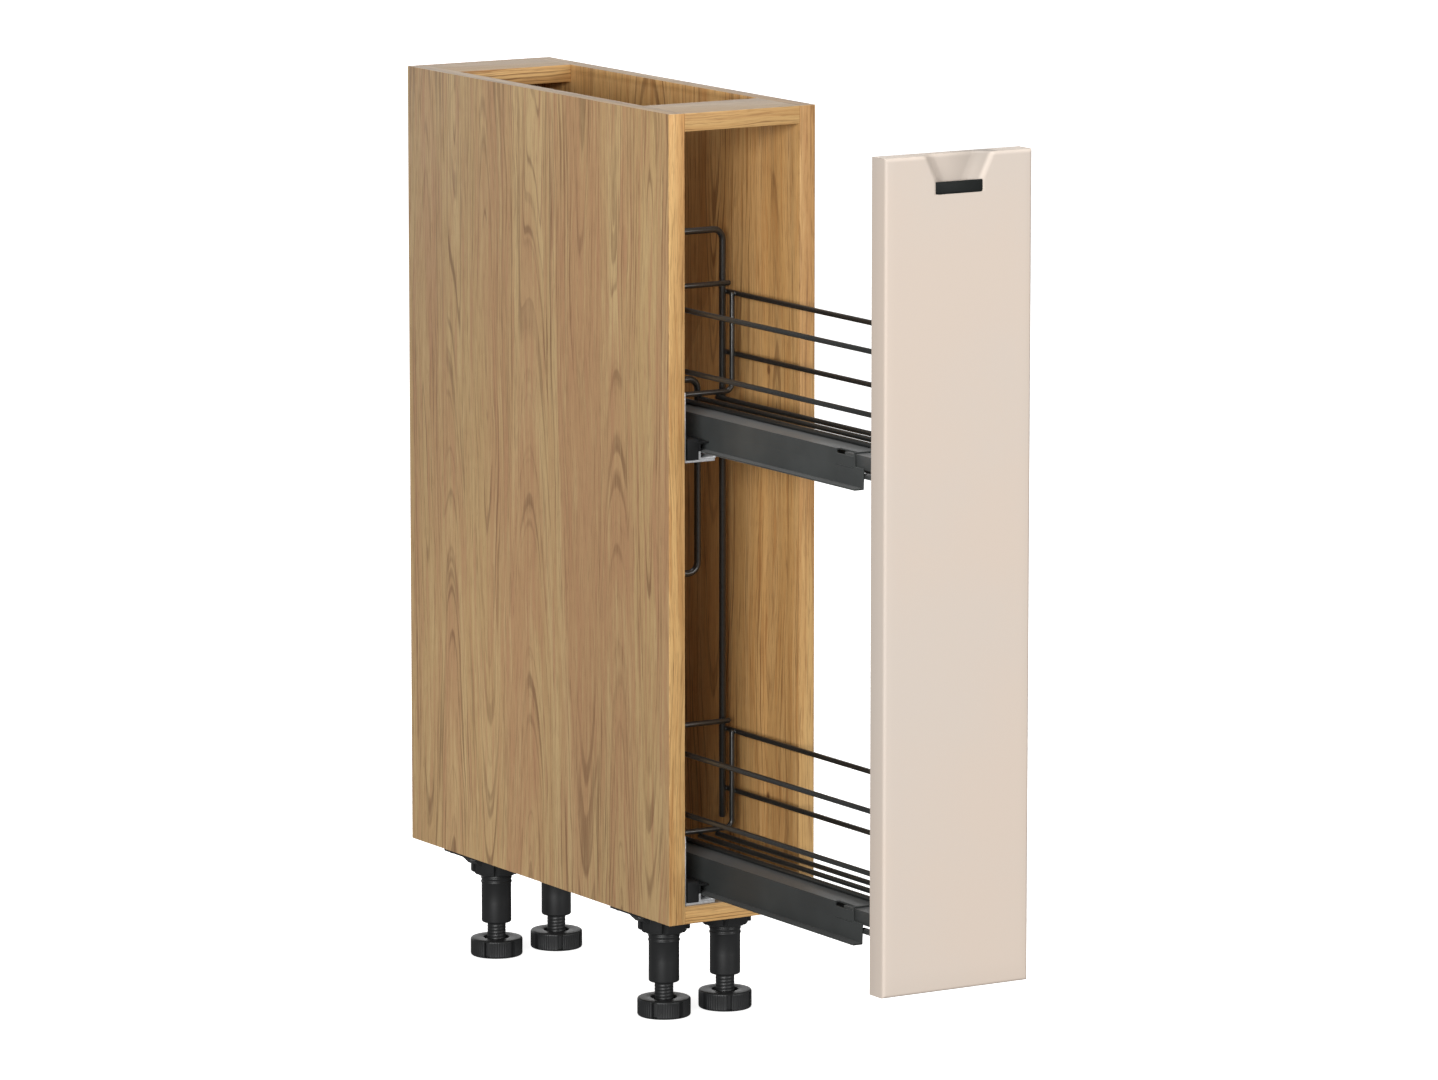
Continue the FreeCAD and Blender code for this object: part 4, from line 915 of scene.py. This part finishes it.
def make_legs():
    for leg in LEGS:
        low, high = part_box(f"{leg}_foot")
        centre = (low + high) / 2
        matrix = standing((centre.x, centre.y, 0))
        turn = LEFT_TURN if "left" in leg else RIGHT_TURN
        foot = foot_form(matrix, high.z / MM, turn)
        dress(foot, f"{leg}_foot_piece", [f"{leg}_foot"], [black_plastic])
        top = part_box(f"{leg}_leg_tube")[1].z / MM
        dress(tube_form(matrix, top), f"{leg}_leg_tube_piece", [f"{leg}_leg_tube"], [black_plastic])
        eased(f"{leg}_leg_socket", SOCKET_EDGE, [black_plastic])


make_legs()


# Runners

# The drawer rails' shallow crease shows only when almost nothing is shaded smooth.
CREASE_ANGLE = 1.5

for level, coat in (("lower", low_rail_coat), ("upper", rail_coat)):
    for part, width, shade in (("wall_rail", 0.3, zinc), ("track_rail", 0.3, zinc),
                               ("guide_rail", 0.3, black_plastic), ("mid_rail", 0.25, zinc),
                               ("mid_rail_pads", 0.5, white_nylon), ("drawer_rail", 0.4, coat),
                               ("front_bracket", 0.3, coat)):
        smooth = CREASE_ANGLE if part == "drawer_rail" else SMOOTH_ANGLE
        eased(f"{level}_{part}", width * MM, [shade], smooth=smooth)


# Baskets

WIRE = 2.4 * MM
FRAME_WIRE = 3.0 * MM
HOOP_BEND = 7 * MM
FRAME_BEND = 9.5 * MM
NUGGET_LONG, NUGGET_FLAT = 1.8 * MM, 0.825 * MM
JOG_ABOVE_RAIL, JOG_BELOW_RAIL, JOG_X = 57 * MM, 117.8 * MM, 16.1 * MM
TAB_EDGE = 0.3 * MM


def wire_basket(level):
    """The hoops, side wires and floor wires of one basket."""
    side_low, side_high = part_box(f"{level}_basket_side_wires")
    floor_low, floor_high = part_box(f"{level}_basket_floor_wires")
    frame_low, frame_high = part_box("rear_frame")
    frame_y = (frame_low.y + frame_high.y) / 2
    heights = (side_low.z + WIRE, side_high.z - WIRE)
    floor_span = floor_high.x - floor_low.x - WIRE * 2
    floor_xs = [floor_low.x + WIRE + floor_span * step / 2 for step in range(3)]

    for end in ("rear", "front"):
        low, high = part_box(f"{level}_basket_{end}_hoop")
        y = (low.y + high.y) / 2
        floor = low.z + WIRE
        corners = [(low.x + WIRE, y, high.z), (low.x + WIRE, y, floor),
                   (high.x - WIRE, y, floor), (high.x - WIRE, y, high.z)]
        form = sweep(new_form(), bent_path(corners, HOOP_BEND), WIRE)
        for x in floor_xs:
            weld(form, (x, y, low.z), (NUGGET_LONG, NUGGET_LONG, NUGGET_FLAT))
        for x in (low.x, high.x):
            for z in heights:
                weld(form, (x, y, z), (NUGGET_FLAT, NUGGET_LONG, NUGGET_LONG))
        dress(form, f"{level}_basket_{end}_hoop_piece", [f"{level}_basket_{end}_hoop"], [wire_coat])

    form = new_form()
    for x in (side_low.x + WIRE, side_high.x - WIRE):
        for z in heights:
            sweep(form, [(x, side_low.y, z), (x, side_high.y, z)], WIRE)
            inner = x + (WIRE if x < 0 else -WIRE)
            weld(form, (inner, frame_y, z), (NUGGET_FLAT, NUGGET_LONG, NUGGET_LONG))
    dress(form, f"{level}_basket_side_wires_piece", [f"{level}_basket_side_wires"], [wire_coat])

    form = new_form()
    z = (floor_low.z + floor_high.z) / 2
    for x in floor_xs:
        sweep(form, [(x, floor_low.y, z), (x, floor_high.y, z)], WIRE)
    dress(form, f"{level}_basket_floor_wires_piece", [f"{level}_basket_floor_wires"], [wire_coat])


for level in ("lower", "upper"):
    wire_basket(level)


def frame_and_rods():
    """The rear frame, one wire with a jog round the upper runner, and the two rods across it."""
    low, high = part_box("rear_frame")
    y = (low.y + high.y) / 2
    leg = high.x - FRAME_WIRE
    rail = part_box("upper_wall_rail")[0].z
    top, jog_high, jog_low = high.z - FRAME_WIRE, rail + JOG_ABOVE_RAIL, rail - JOG_BELOW_RAIL
    corners = [(leg, y, low.z), (leg, y, top), (-leg, y, top), (-leg, y, jog_high),
               (JOG_X, y, jog_high), (JOG_X, y, jog_low), (-leg, y, jog_low), (-leg, y, low.z)]
    form = sweep(new_form(), bent_path(corners, FRAME_BEND, 7), FRAME_WIRE, 24)
    dress(form, "rear_frame_piece", ["rear_frame"], [wire_coat])

    low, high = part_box("rear_cross_rods")
    rod_y = (low.y + high.y) / 2
    form = new_form()
    for z in (low.z + WIRE, high.z - WIRE):
        sweep(form, [(low.x, rod_y, z), (high.x, rod_y, z)], WIRE)
        for x in (-leg, leg):
            weld(form, (x, high.y, z), (NUGGET_LONG, NUGGET_FLAT, NUGGET_LONG))
    dress(form, "rear_cross_rods_piece", ["rear_cross_rods"], [wire_coat])


frame_and_rods()
eased("basket_front_tabs", TAB_EDGE, [rail_coat])


# Front panel

PANEL_ROUND, BACK_ROUND = 3.0 * MM, 1.0 * MM
PANEL_SMOOTH = 40
SCOOP_TOP_HALF, SCOOP_FOOT_HALF = 34 * MM, 23.2 * MM
SCOOP_DEPTH, SCOOP_BEVEL, SCOOP_FOOT, SCOOP_FLOOR = 11 * MM, 10 * MM, 22 * MM, 33 * MM
WALL_SOFT, FLOOR_SOFT = 3.0 * MM, 6.0 * MM
SEAT_GAP, SEAT_DEPTH, SEAT_ROUND = 0.2 * MM, 2.0 * MM, 3.0 * MM
INSERT_TOP_ROUND, INSERT_EDGE = 1.2 * MM, 0.25 * MM

# Spacing of the panel's grid: fine round the scoop, coarse elsewhere, doubled at the seat's edges.
# Lines that lie nearer to those edges than CLEAR are left out.
FINE, COARSE_X, COARSE_Z = 0.6 * MM, 7 * MM, 17 * MM
FINE_HALF, FINE_BELOW_SCOOP = 38 * MM, 2 * MM
SLIVER = 0.01 * MM
CLEAR_X, CLEAR_Z = 0.12 * MM, 0.08 * MM
SAME_PLACE = 0.0005 * MM


def soft_low(a, b, reach):
    """The lower of two values, rounded where they meet."""
    h = max(reach - abs(a - b), 0.0) / reach
    return min(a, b) - h * h * reach / 4


def soft_high(a, b, reach):
    """The higher of two values, rounded where they meet."""
    return -soft_low(-a, -b, reach)


def scoop_depth_at(x, z, top, insert_head):
    """How deep the scoop, or the insert's seat, lies behind the face."""
    floor = top - SCOOP_FLOOR
    foot = top - SCOOP_FOOT
    aside = abs(x) - SCOOP_FOOT_HALF - SEAT_GAP
    below = floor - SEAT_GAP - z
    in_corner = (min(aside, below) > -SEAT_ROUND
                 and math.hypot(aside + SEAT_ROUND, below + SEAT_ROUND) > SEAT_ROUND)
    seat = aside < 0 and below < 0 and z < insert_head + SEAT_GAP and not in_corner
    depth = 0.0
    if z > floor:
        slope = (SCOOP_TOP_HALF - SCOOP_FOOT_HALF) / SCOOP_FOOT
        half = SCOOP_FOOT_HALF + slope * soft_high(z - foot, 0.0, WALL_SOFT)
        wall = (half - abs(x)) * SCOOP_DEPTH / SCOOP_BEVEL
        depth = soft_low(soft_high(wall, 0.0, WALL_SOFT), SCOOP_DEPTH, FLOOR_SOFT)
    return max(depth, SEAT_DEPTH) if seat else depth


def run(start, end, step):
    """Even places from start to end, about a step apart."""
    count = max(1, round((end - start) / step))
    return [start + (end - start) * k / count for k in range(count + 1)]


def make_panel():
    """A grid over the face, with its rounded edges, the scoop and the seat, and a plain back."""
    low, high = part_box("front_panel")
    insert_low, insert_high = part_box("handle_insert")
    turns = [math.radians(angle) for angle in (0, 15, 30, 45, 60, 75, 90)]
    rim = [PANEL_ROUND * (1 - math.cos(turn)) for turn in turns]
    seat_half = SCOOP_FOOT_HALF + SEAT_GAP
    seat_low, seat_high = insert_low.z - SEAT_GAP, insert_high.z + SEAT_GAP
    scoop_z = high.z - SCOOP_FLOOR
    inner_low, inner_high = low.x + PANEL_ROUND, high.x - PANEL_ROUND
    xs = [low.x + d for d in rim] + run(inner_low, -FINE_HALF, COARSE_X)[1:-1]
    xs += run(-FINE_HALF, FINE_HALF, FINE) + run(FINE_HALF, inner_high, COARSE_X)[1:-1]
    xs += [high.x - d for d in reversed(rim)]
    for edge in (-seat_half, seat_half):
        xs = [x for x in xs if abs(x - edge) > CLEAR_X] + [edge - SLIVER, edge + SLIVER]
    fine_z = scoop_z - FINE_BELOW_SCOOP
    zs = [low.z + d for d in rim] + run(low.z + PANEL_ROUND, fine_z, COARSE_Z)[1:-1]
    zs += run(fine_z, high.z - PANEL_ROUND, FINE) + [high.z - d for d in reversed(rim)][1:]
    for edge in (seat_low, seat_high, scoop_z):
        zs = [z for z in zs if abs(z - edge) > CLEAR_Z] + [edge - SLIVER, edge + SLIVER]
    xs, zs = sorted(xs), sorted(zs)

    def rounding(distance):
        inside = max(0.0, PANEL_ROUND - distance)
        return PANEL_ROUND - math.sqrt(max(0.0, PANEL_ROUND ** 2 - inside ** 2))

    form = new_form()
    grid = []
    for z in zs:
        row = []
        for x in xs:
            edge_x = rounding(min(x - low.x, high.x - x))
            edge_z = rounding(min(z - low.z, high.z - z))
            depth = scoop_depth_at(x, z, high.z, insert_high.z)
            row.append(form.verts.new((x, low.y + depth + max(edge_x, edge_z), z)))
        grid.append(row)
    for row, above in zip(grid, grid[1:]):
        for k in range(len(xs) - 1):
            form.faces.new((row[k], row[k + 1], above[k + 1], above[k]))

    loop = grid[0] + [row[-1] for row in grid[1:]]
    loop += grid[-1][-2::-1] + [row[0] for row in grid[-2:0:-1]]
    last = loop
    for turn in (0, 30, 60, 90):
        inset = BACK_ROUND * (1 - math.cos(math.radians(turn)))
        y = high.y - BACK_ROUND + BACK_ROUND * math.sin(math.radians(turn))
        ring = []
        for vertex in loop:
            x = min(max(vertex.co.x, low.x + inset), high.x - inset)
            z = min(max(vertex.co.z, low.z + inset), high.z - inset)
            ring.append(form.verts.new((x, y, z)))
        count = len(loop)
        for k in range(count):
            form.faces.new((last[k], ring[k], ring[(k + 1) % count], last[(k + 1) % count]))
        last = ring
    form.faces.new(last)
    bmesh.ops.remove_doubles(form, verts=form.verts, dist=SAME_PLACE)
    dress(form, "front_panel_piece", ["front_panel"], [paint], smooth=PANEL_SMOOTH)


make_panel()


def make_insert():
    """The insert's plate has round corners, smaller at the top."""
    low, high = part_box("handle_insert")
    form = cad_form("handle_insert")
    for z, radius in ((low.z, SEAT_ROUND), (high.z, INSERT_TOP_ROUND)):
        corners = [edge for edge in form.edges
                   if all(abs(abs(vertex.co.x) - high.x) < NEARBY and abs(vertex.co.z - z) < NEARBY
                          for vertex in edge.verts)]
        round_edges(form, corners, radius, 7)
    dress(ease(form, INSERT_EDGE), "handle_insert_piece", ["handle_insert"], [insert_plastic])


make_insert()


def make_bumpers():
    """Soft domes on the panel's back."""
    form = new_form()
    for points in islands("panel_bumpers"):
        low, high = span_of(points)
        centre = (low + high) / 2
        radius, height = (high.x - low.x) / 2 / MM, (high.y - low.y) / MM
        matrix = standing((centre.x, low.y, centre.z), -math.pi / 2, "X")
        profile = [(0, 0), (radius * 0.97, 0)]
        for degrees in range(10, 90, 10):
            angle = math.radians(degrees)
            profile.append((radius * math.cos(angle), height * math.sin(angle) ** 0.8))
        lathe(form, profile + [(0, height)], 40, matrix=matrix)
    dress(form, "panel_bumpers_piece", ["panel_bumpers"], [clear_dot])


make_bumpers()


# Stage, light and camera

FLOOR_HALF, FLOOR_HEIGHT, FLOOR_GLOW = 60, -0.5 * MM, 0.85
WORLD_STRENGTH = 0.20
LENS, CLIP_END = 208.405, 200
CAMERA_PLACE = (-3.78873, -6.21493, 1.63415)
CAMERA_DIP, CAMERA_TURN = 0.163815, -0.548788


def make_stage():
    """A plain pale floor."""
    form = new_form()
    form.faces.new([form.verts.new((x * FLOOR_HALF, y * FLOOR_HALF, FLOOR_HEIGHT))
                    for x, y in SQUARE])
    mesh = bpy.data.meshes.new("floor")
    form.to_mesh(mesh)
    form.free()
    s = Shade("floor", Roughness=0.9, Specular_IOR_Level=0.0)
    s.base(s.colour(s.noise(s.place, 0.8, 2.0), (0.84, 0.84, 0.84), (0.86, 0.86, 0.86)))
    s.shader.inputs["Emission Color"].default_value = (1, 1, 1, 1)
    s.shader.inputs["Emission Strength"].default_value = FLOOR_GLOW
    mesh.materials.append(s.material)
    floor = bpy.data.objects.new("floor", mesh)
    floor.visible_diffuse = False
    floor.visible_glossy = False
    bpy.context.scene.collection.objects.link(floor)


def aim(item, target):
    way = Vector(target) - item.location
    item.rotation_euler = way.to_track_quat("-Z", "Y").to_euler()


def area_light(name, place, target, size, power):
    """A soft rectangular light, in metres and watts."""
    data = bpy.data.lights.new(name, "AREA")
    data.shape = "RECTANGLE"
    data.size, data.size_y = size
    data.energy = power
    light = bpy.data.objects.new(name, data)
    light.location = place
    light.visible_camera = False
    bpy.context.scene.collection.objects.link(light)
    aim(light, target)


make_stage()
world = bpy.data.worlds.new("studio")
world.use_nodes = True
world.node_tree.nodes["Background"].inputs[0].default_value = (1, 1, 1, 1)
world.node_tree.nodes["Background"].inputs[1].default_value = WORLD_STRENGTH
bpy.context.scene.world = world
area_light("key_light", (-6.79, -5.80, 2.01), (0, -0.1, 0.45), (4.5, 3.0), 730)
area_light("fill_light", (3.01, -8.37, 2.32), (0, -0.1, 0.45), (4.5, 3.0), 310)
area_light("top_light", (0, -0.2, 5.5), (0, -0.2, 0.8), (2.5, 2.5), 174)
area_light("back_light", (1.5, 9.0, 1.7), (0, 0, 0.45), (10, 3.0), 140)

camera_data = bpy.data.cameras.new("camera")
camera_data.sensor_fit = "HORIZONTAL"
camera_data.sensor_width = 36
camera_data.lens = LENS
camera_data.clip_end = CLIP_END
camera = bpy.data.objects.new("camera", camera_data)
camera.location = CAMERA_PLACE
camera.rotation_euler = (math.pi / 2 - CAMERA_DIP, 0, CAMERA_TURN)
bpy.context.scene.collection.objects.link(camera)
bpy.context.scene.camera = camera
bpy.context.scene.view_settings.view_transform = "Standard"
bpy.context.scene.view_settings.look = "None"
